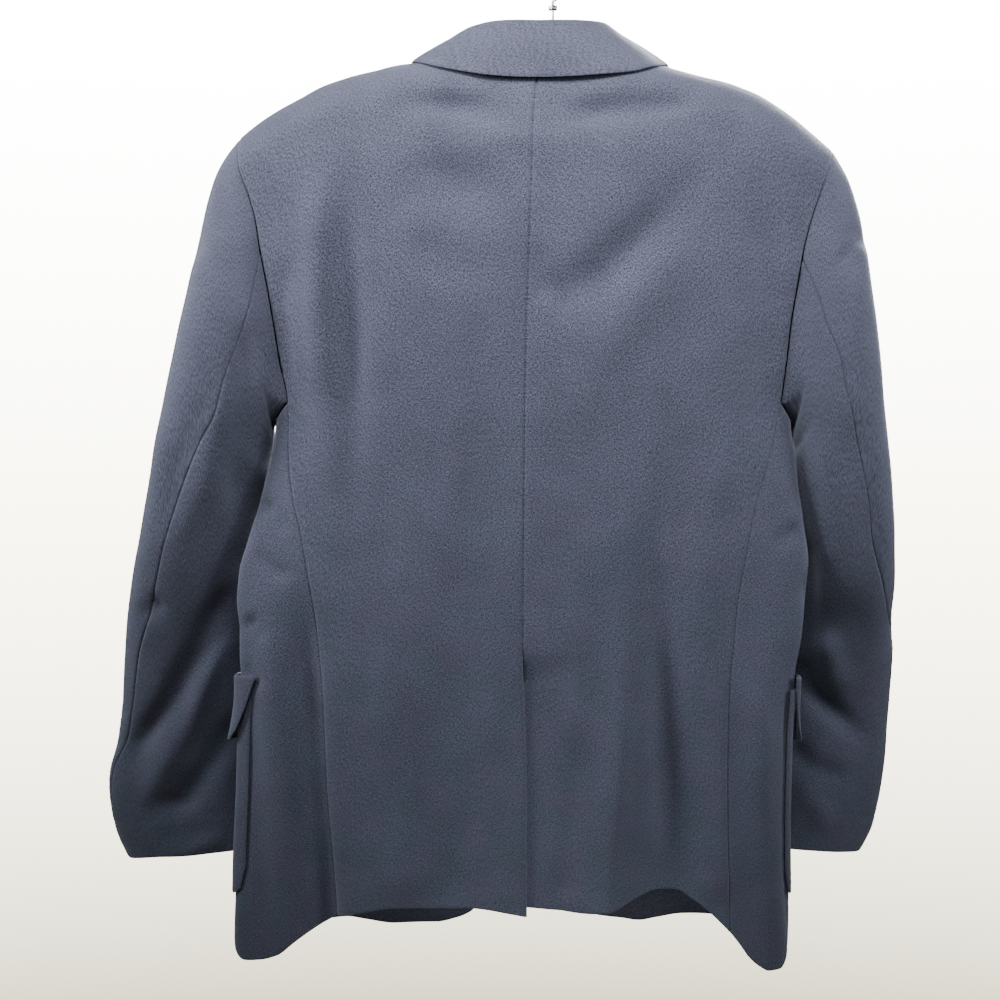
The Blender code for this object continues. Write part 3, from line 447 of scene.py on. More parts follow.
class Curve:
    """A smooth curve through the rows of a table, read as one column against another."""

    def __init__(self, table: Sequence[NamedTuple], key: str = "at", value: str = "value") -> None:
        """Keep the rows in order and work out a slope at each.

        Args:
            table: Rows with the two named columns.
            key: The column the curve is read at.
            value: The column the curve gives.
        """
        rows = sorted((getattr(row, key), getattr(row, value)) for row in table)
        self.at = np.array([row[0] for row in rows], float)
        self.values = np.array([row[1] for row in rows], float)
        chords = np.diff(self.values) / np.diff(self.at)
        before, after = chords[:-1], chords[1:]
        same_way = before * after > 0
        total = np.where(same_way, before + after, 1.0)
        inner = np.where(same_way, 2 * before * after / total, 0.0)
        self.slopes = np.concatenate(([chords[0]], inner, [chords[-1]]))

    def __call__(self, where: Values) -> np.ndarray:
        """Values of the curve.

        Args:
            where: Places to read it at, held within the table's ends.

        Returns:
            One value for each place.
        """
        where = np.clip(np.asarray(where, float), self.at[0], self.at[-1])
        i = np.clip(np.searchsorted(self.at, where, side="right") - 1, 0, len(self.at) - 2)
        span = self.at[i + 1] - self.at[i]
        t = (where - self.at[i]) / span
        rise = self.values[i + 1] - self.values[i]
        ease = t * t * (3 - 2 * t)
        lead_in = t * (1 - t) ** 2 * span * self.slopes[i]
        lead_out = t * t * (1 - t) * span * self.slopes[i + 1]
        return self.values[i] + rise * ease + lead_in - lead_out


def lerp(start: Values, end: Values, share: Values) -> Values:
    """The value a share of the way from start to end."""
    return start + (end - start) * share


def smoothstep(share: Values) -> np.ndarray:
    """Ease from 0 to 1."""
    share = np.clip(share, 0.0, 1.0)
    return share * share * (3 - 2 * share)


def unit(vectors: np.ndarray) -> np.ndarray:
    """The vectors at length one."""
    return vectors / np.maximum(np.linalg.norm(vectors, axis=-1, keepdims=True), 1e-9)


def through(points: np.ndarray, where: np.ndarray) -> np.ndarray:
    """Smooth curve through evenly numbered points.

    Args:
        points: Points along the first axis.
        where: Places along them, from 0 to the last point's number.

    Returns:
        Points at those places, along the first axis.
    """
    last = len(points) - 1
    i = np.clip(np.floor(where).astype(int), 0, last - 1)
    t = (where - i).reshape((-1,) + (1,) * (points.ndim - 1))
    before, start = points[np.maximum(i - 1, 0)], points[i]
    end, after = points[i + 1], points[np.minimum(i + 2, last)]
    return 0.5 * (2 * start + (end - before) * t + (2 * before - 5 * start + 4 * end - after) * t ** 2
                  + (3 * start - before - 3 * end + after) * t ** 3)


# Where the closer lines near an edge lie, in steps from it
EDGE_LINES = np.array([0.15, 0.35, 0.6])


def close_shares(count: int) -> np.ndarray:
    """Shares from 0 to 1 for a grid's lines, with closer lines near both ends for the seams.

    Args:
        count: Even steps between the ends.

    Returns:
        The shares in order.
    """
    near = EDGE_LINES / count
    return np.sort(np.concatenate((np.linspace(0, 1, count + 1), near, 1 - near)))


@dataclass
class BodyForm:
    """One half of the body's surface, from the centre back round the side to the centre front."""

    side: Side

    def __post_init__(self) -> None:
        """Make the curves this side needs."""
        side = self.side
        self.centre_x = Curve(CENTRE_LINE)
        self.width = Curve(WIDTHS[side])
        self.back = Curve(DEPTHS, "height", "back")
        self.side_y = Curve(DEPTHS, "height", "side")
        self.front = Curve(DEPTHS, "height", "front")
        self.squareness = Curve(DEPTHS, "height", "squareness")
        top = NECK[:-1] + RIDGES[side]
        self.top_y = Curve(top, "across", "y")
        self.top_height = Curve(top, "across", "height")
        self.back_edge = Curve(BACK_EDGES[side])
        self.front_edge = Curve(FRONT_EDGES[side])
        self.opening = Curve(FRONT_OPENING)
        self.lap = Curve(LAP_LIFTS)
        self.hems = {name: Curve(table) for name, table in HEMS[side].items()}
        self.tip = RIDGES[side][-1].across

    def place(self, across: np.ndarray, y: np.ndarray, height: np.ndarray) -> np.ndarray:
        """Points at distances across from the centre line, on this side."""
        x = self.centre_x(height) + self.side.value * np.asarray(across)
        return np.stack(np.broadcast_arrays(x, y, height), axis=-1).astype(float)

    def _fullness(self, across: np.ndarray, height: np.ndarray) -> np.ndarray:
        """How far out the section reaches at a distance across, from 0 at the side to 1."""
        power = self.squareness(height)
        share = np.minimum(1.0, np.abs(across) / self.width(height))
        return (1 - share ** power) ** (1 / power)

    def _roll(self, across: np.ndarray, height: np.ndarray) -> np.ndarray:
        """How far the cloth has turned down from the ridge, from 0 to 1."""
        drop = self.top_height(np.maximum(across, 0)) - height
        share = np.clip(drop / RIDGE_ROLL, 0.0, 1.0)
        return np.sqrt(1 - (1 - share) ** 2)

    def back_point(self, across: np.ndarray, height: np.ndarray) -> np.ndarray:
        """Points on the back's outer surface."""
        side_y = self.side_y(height)
        full = side_y + (self.back(height) - side_y) * self._fullness(across, height)
        reach = np.abs(across)
        return self.place(across, lerp(self.top_y(reach), full, self._roll(reach, height)), height)

    def front_point(self, across: np.ndarray, height: np.ndarray) -> np.ndarray:
        """Points on the front's outer surface, the left front lifted where it laps over the right."""
        side_y = self.side_y(height)
        full = side_y + (self.front(height) - side_y) * self._fullness(across, height)
        reach = np.maximum(np.abs(across), NECK_POINT)
        y = lerp(self.top_y(reach), full, self._roll(reach, height))
        if self.side is Side.LEFT:
            y = y - self.lap(height) * smoothstep((LAP_FADE - across) / (LAP_FADE - LAP_FULL))
        return self.place(across, y, height)

    def ring_point(self, angle: np.ndarray, height: np.ndarray, lift: Values = 0.0) -> np.ndarray:
        """Points on the outline at one height.

        Args:
            angle: Degrees from the centre back, 180 at the centre front.
            height: Height of each point.
            lift: Distance outwards from the surface.

        Returns:
            The points.
        """
        turn = np.radians(angle)
        power = 2 / self.squareness(height)
        side_y = self.side_y(height)
        depth = np.where(angle <= 90, self.back(height) - side_y, side_y - self.front(height))
        sine, cosine = np.sin(turn), np.cos(turn)
        width = self.width(height)
        across = width * sine ** power
        y = side_y + depth * np.copysign(np.abs(cosine) ** power, cosine)
        normal_across = sine ** (2 - power) / width
        normal_y = np.copysign(np.abs(cosine) ** (2 - power), cosine) / depth
        length = np.hypot(normal_across, normal_y)
        return self.place(across + lift * normal_across / length, y + lift * normal_y / length, height)

    def angle_at(self, across: np.ndarray, height: np.ndarray, front: bool = False) -> np.ndarray:
        """The outline angle at a distance across, on the back or on the front."""
        share = np.minimum(1.0, across / self.width(height))
        angle = np.degrees(np.arcsin(share ** (self.squareness(height) / 2)))
        return 180 - angle if front else angle

    def side_top(self, share: np.ndarray) -> np.ndarray:
        """Height of the armhole's foot, where the side panel ends."""
        return ARMPIT_HEIGHT - ARMPIT_DROP * np.sin(np.pi * share)


def row_heights(top: np.ndarray, hem: np.ndarray, upper: int, lower: int) -> np.ndarray:
    """Heights of the rows of a body grid.

    Args:
        top: Height of each column's top.
        hem: Height of each column's foot.
        upper: Rows from the top to the armpit.
        lower: Rows from the armpit to the hem.

    Returns:
        Heights, a line for each column.
    """
    marks = (len(UPPER_SHARES) - 1) * close_shares(upper)
    shares = np.interp(marks, np.arange(len(UPPER_SHARES)), UPPER_SHARES)
    above = lerp(top[:, None], ARMPIT_HEIGHT, shares[None, :])
    down = close_shares(lower)[1:]
    below = lerp(ARMPIT_HEIGHT, hem[:, None], down[None, :])
    return np.concatenate((above, below), axis=1)


def back_grid(form: BodyForm, columns: int, upper: int, lower: int) -> np.ndarray:
    """Points of one back, columns from the centre seam to the armhole and side seam."""
    share = close_shares(columns)
    top = form.top_height(share * form.tip)
    hem = form.hems["back"](share * HEMS[form.side]["back"][-1].at)
    height = row_heights(top, hem, upper, lower)
    rise = np.maximum(0, (height - ARMPIT_HEIGHT) / (top[:, None] - ARMPIT_HEIGHT))
    edge_height = height + rise * (form.top_height(form.tip) - top[:, None])
    grid = form.back_point(share[:, None] * form.back_edge(edge_height), height)
    return tuck_vent(grid) if form.side is Side.RIGHT else grid


def tuck_vent(grid: np.ndarray) -> np.ndarray:
    """The right back's strip under the left at the vent: it steps inwards, then reaches across."""
    under = grid[0, :, 2] < VENT_TOP
    first = int(np.argmax(under))
    seam_x = grid[0:1, :, 0]
    away = np.abs(grid[:, :, 0] - seam_x)
    near = smoothstep(1 - away / VENT_BLEND) * under[None, :]
    below = np.arange(grid.shape[1]) - first
    step = smoothstep((below + 1) / VENT_STEP_ROWS)[None, :]
    down = np.clip(below / below[-1], 0, 1)[None, :]
    grid[:, :, 1] -= VENT_RECESS * near * step
    grid[:, :, 2] += VENT_RISE * near * down
    across = smoothstep((below - VENT_STEP_ROWS) / VENT_REACH_ROWS)[None, :]
    reach = np.clip(1 - away / VENT_STRETCH, 0, 1) * under[None, :] * across
    grid[:, :, 0] += VENT_UNDERLAP * reach
    return grid


def side_grid(form: BodyForm, columns: int, rows: int) -> np.ndarray:
    """Points of one side panel, columns from the back seam round to the front seam."""
    share = close_shares(columns)[:, None]
    height = lerp(form.side_top(share), form.hems["side"](share), close_shares(rows)[None, :])
    rear = form.angle_at(form.back_edge(height), height)
    fore = form.angle_at(form.front_edge(height), height, front=True)
    grid = form.ring_point(lerp(rear, fore, share), height)
    grid[0] = form.back_point(form.back_edge(height[0]), height[0])
    grid[-1] = form.front_point(form.front_edge(height[-1]), height[-1])
    return grid


def front_grid(form: BodyForm, columns: int, upper: int, lower: int) -> np.ndarray:
    """Points of one front, columns from its own edge to the armhole and side seam."""
    share = close_shares(columns)
    table = HEMS[form.side]["front"]
    top = form.top_height(lerp(NECK_POINT, form.tip, share))
    hem = form.hems["front"](lerp(table[0].at, table[-1].at, share))
    height = row_heights(top, hem, upper, lower)
    rise = np.maximum(0, (height - ARMPIT_HEIGHT) / (top[:, None] - ARMPIT_HEIGHT))
    inner_height = height + rise * (form.top_height(NECK_POINT) - top[:, None])
    outer_height = height + rise * (form.top_height(form.tip) - top[:, None])
    across = lerp(form.opening(inner_height), form.front_edge(outer_height), share[:, None])
    return form.front_point(across, height)


def armhole_points(form: BodyForm, places: np.ndarray) -> np.ndarray:
    """The armhole's line, from the shoulder tip down the back, under the arm and up the front.

    Args:
        form: The body's half.
        places: Places round it, counted as the sleeve's seams are.

    Returns:
        The points.
    """
    marks = np.arange(len(UPPER_SHARES))
    pit, fore_pit = len(UPPER_SHARES) - 1, len(UPPER_SHARES) - 1 + UNDER_STEPS
    top = form.top_height(form.tip)
    down_height = lerp(top, ARMPIT_HEIGHT, np.interp(places, marks, UPPER_SHARES))
    up_height = lerp(top, ARMPIT_HEIGHT, np.interp(RING_STEPS - places, marks, UPPER_SHARES))
    share = np.clip((places - pit) / UNDER_STEPS, 0, 1)
    low_height = form.side_top(share)
    rear = form.angle_at(form.back_edge(low_height), low_height)
    fore = form.angle_at(form.front_edge(low_height), low_height, front=True)
    down = form.back_point(form.back_edge(down_height), down_height)
    under = form.ring_point(lerp(rear, fore, share), low_height)
    up = form.front_point(form.front_edge(up_height), up_height)
    chosen = np.where((places <= pit)[:, None], down, under)
    return np.where((places >= fore_pit)[:, None], up, chosen)


def sleeve_ring(form: BodyForm, ring: SleeveRing, places: np.ndarray) -> np.ndarray:
    """Points of one closed section of a sleeve, place 0 at the outside."""
    outer = form.place(ring.outer_across, ring.y + ring.lean, ring.outer_height)
    inner = form.place(ring.inner_across, ring.y - ring.lean, ring.inner_height)
    middle, reach = (outer + inner) / 2, (outer - inner) / 2
    top_steps = HIND_INDEX + RING_STEPS - FORE_INDEX
    fore_from_top = ring.fore_seam - 360
    wrapped = np.where(places > HIND_INDEX, places - FORE_INDEX, places + RING_STEPS - FORE_INDEX)
    over = lerp(fore_from_top, ring.hind_seam, wrapped / top_steps)
    under = lerp(ring.hind_seam, ring.fore_seam, (places - HIND_INDEX) / (FORE_INDEX - HIND_INDEX))
    turn = np.radians(np.where((places > HIND_INDEX) & (places < FORE_INDEX), under, over))
    cosine, sine = np.cos(turn), np.sin(turn)
    power = 2 / SLEEVE_SQUARENESS
    along = np.copysign(np.abs(cosine) ** power, cosine)[:, None]
    deep = np.copysign(np.abs(sine) ** power, sine)
    points = middle + reach * along
    points[:, 1] += ring.half_depth * deep
    points[:, 0] -= form.side.value * ring.bow * sine * sine
    return points


def sleeve_grid(form: BodyForm, start: int, end: int, columns: int, down: int) -> np.ndarray:
    """Points of one half of a sleeve, its columns run from the armhole to the cuff.

    Args:
        form: The body's half.
        start: Place round the sleeve of the first seam.
        end: Place of the last seam.
        columns: Even steps from seam to seam.
        down: Even steps from the armhole to the cuff.

    Returns:
        The grid.
    """
    places = lerp(start, end, close_shares(columns)) % RING_STEPS
    rings = [armhole_points(form, places)]
    rings += [sleeve_ring(form, ring, places) for ring in SLEEVES[form.side]]
    fine = through(np.array(rings), (len(rings) - 1) * close_shares(down))
    return fine.transpose(1, 0, 2)


def collar_grid(along: int) -> np.ndarray:
    """Points of the whole collar, columns along it from the left gorge to the right one.

    Args:
        along: Columns from one gorge to the other.

    Returns:
        The grid. Each column goes up the stand, over the roll line and down the fall.
    """
    left, right = (np.array([[station.base, station.roll, station.edge] for station in COLLAR[side]], float)
                   * np.array([side.value, 1.0, 1.0]) for side in Side)
    stations = np.concatenate((left[::-1], right[1:]))
    stations[:, :, 0] += NECK_MIDDLE[0]
    fine = through(stations, np.linspace(0, len(stations) - 1, along + 1))
    base, roll, edge = fine[:, 0], fine[:, 1], fine[:, 2]
    up = unit(roll - base)
    centre = roll - up * COLLAR_FOLD
    out = edge - roll
    out = unit(out - up * np.sum(out * up, axis=1, keepdims=True))
    foot = centre - out * COLLAR_FOLD
    fall = unit(edge - roll)
    leans = np.sum(fall * out, axis=1)
    last_turn = np.arctan2(leans, np.sum(fall * up, axis=1))[:, None]
    stand = np.linspace(0, 1, COLLAR_STAND_STEPS, endpoint=False)
    lines = [lerp(base, foot, share) for share in stand]
    for share in np.linspace(0, 1, COLLAR_FOLD_STEPS + 1):
        turn = last_turn * share
        lines.append(centre - out * COLLAR_FOLD * np.cos(turn) + up * COLLAR_FOLD * np.sin(turn))
    start = lines.pop()
    for share in np.linspace(0, 1, COLLAR_FALL_STEPS + 1):
        lines.append(lerp(start, edge, share) + out * COLLAR_BULGE * math.sin(math.pi * share))
    return np.array(lines).transpose(1, 0, 2)


def lapel_grid(form: BodyForm, columns: int, rows: int) -> np.ndarray:
    """Points of one lapel, columns from the roll line to its outer edge, from the gorge down."""
    edge = Curve(LAPEL_EDGE)
    share = np.linspace(0, 1, rows + 1)
    roll_height = lerp(ROLL_LINE_TOP - LAPEL_TOP_GAP, ROLL_LINE_FOOT, share)
    edge_height = lerp(LAPEL_EDGE[0].at, LAPEL_EDGE[-1].at, share)
    roll_across, edge_across = form.opening(roll_height), edge(edge_height)
    lines = []
    for lead, lift in LAPEL_TUCKS:
        tuck = np.array([form.side.value * lead, -lift, 0])
        lines.append(form.front_point(roll_across, roll_height) + tuck)
    for way in np.linspace(0, 1, columns + 1):
        across = lerp(roll_across + LAPEL_FIRST_ACROSS, edge_across, way)
        height = lerp(roll_height, edge_height, way)
        lift = lerp(LAPEL_ROLL, LAPEL_LIFT, smoothstep(way * LAPEL_FALL_RATE))
        lines.append(form.front_point(across, height) - np.array([0, lift, 0]))
    return np.array(lines)


def patch_grid(form: BodyForm, place: PatchPlace, size: PatchSize) -> np.ndarray:
    """Points of a pocket or a flap: the body's points moved out, its lower corners rounded."""
    share = np.linspace(0, 1, size.columns + 1)[:, None]
    down = np.linspace(0, 1, size.rows + 1)[None, :]
    spread = size.corner / (place.top - place.foot)
    narrowing = np.maximum(0.0, (down - 1 + spread) / spread) * size.corner * CORNER_TURN
    rear = place.rear_angle + place.rear_slant * down
    angle = lerp(rear + narrowing, place.fore_angle - narrowing, share)
    edge = np.abs(2 * share - 1) ** CORNER_POWER
    rise = edge * np.maximum(0.0, down - 0.5) * size.corner * CORNER_RISE
    height = lerp(place.top, place.foot, down) + rise
    return form.ring_point(angle, height, size.lift + size.kick * down * down)


# How a fold swells and thins along its length, and the shortest share it can fade over
SWELL = 0.25
SWELL_WAVES = 9.0
SHORTEST_FADE = 0.01


@dataclass
class Crease:
    """One fold as measured on the photo: a soft trough or ridge along a line in X and Z."""

    path: tuple[tuple[float, float], ...]
    depth: float
    width: float
    fade_in: float = 0.3
    fade_out: float = 0.4

    def shift(self, points: np.ndarray) -> np.ndarray:
        """How far each point moves outwards.

        Args:
            points: Points in millimetres, X Y Z in the last axis.

        Returns:
            Distances, less than nothing in a trough.
        """
        line = np.array(self.path, float)
        spans = np.diff(line, axis=0)
        lengths = np.hypot(spans[:, 0], spans[:, 1])
        walked = np.concatenate(([0.0], np.cumsum(lengths)))
        place = points[..., [0, 2]]
        nearest = np.full(points.shape[:-1], np.inf)
        along = np.zeros(points.shape[:-1])
        for index, span in enumerate(spans):
            offset = place - line[index]
            share = np.clip(offset @ span / lengths[index] ** 2, 0, 1)
            distance = np.hypot(offset[..., 0] - share * span[0], offset[..., 1] - share * span[1])
            closer = distance < nearest
            nearest = np.where(closer, distance, nearest)
            along = np.where(closer, (walked[index] + share * lengths[index]) / walked[-1], along)
        rise = smoothstep(along / max(self.fade_in, SHORTEST_FADE))
        fall = smoothstep((1 - along) / max(self.fade_out, SHORTEST_FADE))
        swell = 1 + SWELL * np.sin(along * SWELL_WAVES + line[0, 0])
        return self.depth * rise * fall * swell * np.exp(-(nearest / self.width) ** 2)


# Folds as they lie on the photo, and like ones on the sides it doesn't show: each with its path in X
# and Z, its depth and width, and the shares of its length over which it comes in and fades out
FOLDS = {
    Region.BACK: make_rows(
        Crease,
        (((148, -136), (96, -146), (30, -154)), -7.0, 13, 0.25, 0.4),
        (((0, -154), (-74, -148), (-140, -137)), -7.4, 13, 0.3, 0.25),
        (((112, -186), (50, -176), (-30, -176), (-100, -186)), 3.0, 15),
        (((-142, -186), (-96, -246), (-42, -296), (10, -324)), -8.4, 20, 0.35, 0.1),
        (((20, -268), (12, -308), (8, -330)), -2.2, 10),
        (((-134, -236), (-76, -318), (-24, -404), (-6, -470)), 3.6, 22),
        (((136, -190), (84, -216), (24, -240)), -5.6, 21),
        (((150, -240), (94, -262), (38, -280)), 2.6, 18),
        (((212, -190), (208, -340), (200, -520)), 8.6, 15, 0.2, 0.4),
        (((185, -196), (181, -350), (172, -540)), -7.4, 14, 0.2, 0.5),
        (((240, -270), (244, -350), (248, -440)), -4.4, 10, 0.3, 0.4),
        (((-182, -205), (-192, -330), (-182, -480)), -4.8, 16, 0.3, 0.5),
        (((-206, -250), (-214, -350), (-204, -450)), 3.6, 13),
        (((-150, -330), (-146, -430), (-156, -540)), 2.8, 22),
        (((60, -360), (70, -480), (62, -600)), -2.4, 26),
        (((-92, -470), (-99, -680), (-102, -866)), -14.0, 19, 0.45, 0.03),
        (((-60, -600), (-56, -740), (-42, -866)), 10.0, 15, 0.4, 0.03),
        (((-20, -690), (-16, -760), (-10, -850)), -3.2, 11, 0.4, 0.1),
        (((-140, -590), (-146, -720), (-144, -858)), 4.6, 17, 0.4, 0.1),
        (((226, -540), (214, -700), (202, -866), (200, -930)), -11.0, 13, 0.35, 0.1),
        (((262, -540), (248, -700), (236, -864), (234, -940)), 8.6, 15, 0.3, 0.3),
        (((-165, -590), (-180, -700), (-192, -870), (-198, -940)), 6.8, 15, 0.3, 0.3),
        (((-206, -600), (-214, -700), (-220, -860), (-222, -940)), -5.0, 12, 0.35, 0.3),
        (((156, -560), (146, -700), (132, -858)), 4.6, 22, 0.4, 0.1),
        (((88, -600), (82, -720), (84, -858)), -4.2, 20, 0.5, 0.1),
        (((40, -680), (38, -760), (44, -860)), 3.0, 16, 0.4, 0.1),
        (((264, -492), (236, -530)), -3.8, 7),
        (((272, -540), (246, -560), (228, -566)), -3.2, 6),
        (((276, -598), (256, -624)), -3.8, 7),
        (((278, -640), (256, -668)), -2.6, 7),
        (((-198, -541), (-226, -512)), -4.4, 7),
        (((-240, -560), (-218, -590)), -3.4, 8),
    ),
    Region.LEFT_SLEEVE: make_rows(
        Crease,
        (((283, -566), (300, -588), (322, -634), (354, -684), (388, -726), (402, -770)), -8.6, 12, 0.2, 0.3),
        (((282, -616), (309, -634), (338, -704), (378, -770), (392, -790)), 5.6, 11, 0.2, 0.3),
        (((284, -690), (318, -740), (346, -778), (392, -790)), -7.0, 11, 0.2, 0.4),
        (((352, -584), (380, -606)), -4.4, 9),
        (((290, -240), (318, -262), (334, -290)), -2.8, 14),
        (((304, -400), (334, -460), (356, -550)), -4.2, 13),
        (((284, -380), (308, -450), (320, -530)), 4.0, 13),
        (((272, -330), (276, -400), (282, -460), (290, -540)), -6.0, 11, 0.2, 0.3),
        (((300, -810), (340, -824), (376, -830)), 3.0, 9),
    ),
    Region.RIGHT_SLEEVE: make_rows(
        Crease,
        (((-228, -520), (-237, -600), (-242, -668)), -6.0, 9, 0.2, 0.3),
        (((-222, -640), (-250, -682), (-276, -704), (-308, -730)), -8.8, 11, 0.15, 0.4),
        (((-246, -610), (-262, -650), (-284, -680)), 6.0, 12),
        (((-214, -716), (-244, -746), (-286, -762)), -5.2, 11),
        (((-230, -756), (-256, -790), (-262, -824)), 4.0, 12),
        (((-262, -250), (-286, -272)), -3.4, 11),
        (((-252, -270), (-276, -294)), -3.0, 10),
        (((-256, -410), (-276, -490), (-288, -580)), -3.6, 13),
        (((-240, -420), (-252, -500), (-262, -560)), 3.0, 12),
    ),
    Region.LEFT_SLEEVE_FRONT: make_rows(
        Crease,
        (((262, -420), (290, -500), (322, -560)), -3.0, 14),
        (((270, -560), (310, -610), (362, -640)), -5.2, 12),
        (((284, -600), (330, -650), (380, -670)), 3.8, 12),
        (((300, -660), (346, -700), (392, -712)), -3.6, 11),
        (((256, -270), (284, -330), (296, -400)), -2.0, 16),
    ),
    Region.RIGHT_SLEEVE_FRONT: make_rows(
        Crease,
        (((-232, -430), (-262, -510), (-292, -560)), -3.0, 14),
        (((-230, -560), (-266, -604), (-312, -630)), -5.0, 12),
        (((-236, -606), (-276, -646), (-316, -664)), 3.6, 12),
        (((-226, -680), (-262, -706), (-306, -716)), -3.4, 11),
        (((-230, -280), (-254, -340), (-268, -410)), -2.0, 16),
    ),
    Region.FRONT: make_rows(
        Crease,
        (((12, -512), (70, -486), (130, -440)), -2.4, 13, 0.1, 0.6),
        (((20, -532), (90, -540), (150, -520)), 2.0, 15, 0.15, 0.6),
        (((-34, -520), (-90, -500), (-150, -450)), -2.2, 13, 0.1, 0.6),
        (((20, -628), (60, -640), (110, -636)), -1.8, 12, 0.1, 0.6),
        (((196, -230), (194, -330), (184, -420)), -2.6, 14),
        (((-196, -240), (-190, -340), (-184, -430)), -2.4, 14),
        (((170, -250), (168, -340), (160, -430)), 2.2, 15),
        (((-150, -560), (-140, -700), (-132, -860)), -3.4, 18, 0.4, 0.1),
        (((-96, -640), (-92, -760), (-96, -870)), 2.8, 18, 0.4, 0.1),
        (((150, -560), (146, -700), (150, -870)), -3.0, 18, 0.4, 0.1),
        (((100, -640), (96, -760), (104, -880)), 2.6, 18, 0.4, 0.1),
    ),
}
SLEEVE_REGIONS = {
    Side.LEFT: (Region.LEFT_SLEEVE, Region.LEFT_SLEEVE_FRONT),
    Side.RIGHT: (Region.RIGHT_SLEEVE, Region.RIGHT_SLEEVE_FRONT),
}
FRONT_REGIONS = (Region.FRONT, Region.LEFT_SLEEVE_FRONT, Region.RIGHT_SLEEVE_FRONT)


class Waves(NamedTuple):
    """A slow wave of the cloth: its length across and down, its height and its phase."""

    across: float
    down: float
    height: float
    phase: float


# Slight unevenness that cloth has between its folds
UNEVENNESS = make_rows(
    Waves, (83, 420, 0.55, 0.4), (57, -310, 0.35, 2.1), (131, 230, 0.5, 4.0), (34, 260, 0.16, 1.3),
    (-41, 75, 0.14, 5.2), (23, 61, 0.07, 0.9),
)


class EdgeKind(Enum):
    """How an edge of a shell is finished."""

    SEAM = "sewn to its neighbour and rolled in"
    HEM = "turned up and pressed"
    FOLD = "a pressed free edge"


@dataclass
class Edges:
    """The finish of a shell's four edges."""

    first: EdgeKind = EdgeKind.SEAM
    last: EdgeKind = EdgeKind.SEAM
    top: EdgeKind = EdgeKind.SEAM
    foot: EdgeKind = EdgeKind.SEAM


# Distance from the armhole over which folds fade out. The sleeves' edge goes on inside it for the
# allowance, tucked in by so many thicknesses of the cloth
STILL_REACH = 15.0
ARMHOLE_ALLOWANCE = 5.0
ALLOWANCE_TUCK = 1.4

# A fold also bends cloth that has turned past the side, while its normal's Y changes by the reach
TURN_START = 0.05
TURN_REACH = 0.45

# The unevenness grows from a least share to its whole over a drop below the shoulders
UNEVEN_TOP = -130
UNEVEN_DROP = 300
UNEVEN_LEAST = 0.35

# A seam's pucker: its waves down and across in radians a millimetre, its slower beat, and its reach
PUCKER_DOWN = 0.36
PUCKER_ACROSS = 0.21
PUCKER_BEAT = 0.37
PUCKER_REACH = 9.0

# The line that a turned-up hem presses into the cloth: its depth, height and width
HEM_LINE_DEPTH = 0.35
HEM_LINE_HEIGHT = 38.0
HEM_LINE_WIDTH = 2.2

# Share of a seam's roll that a hem or a free edge has
FREE_EDGE_SHARE = 0.5


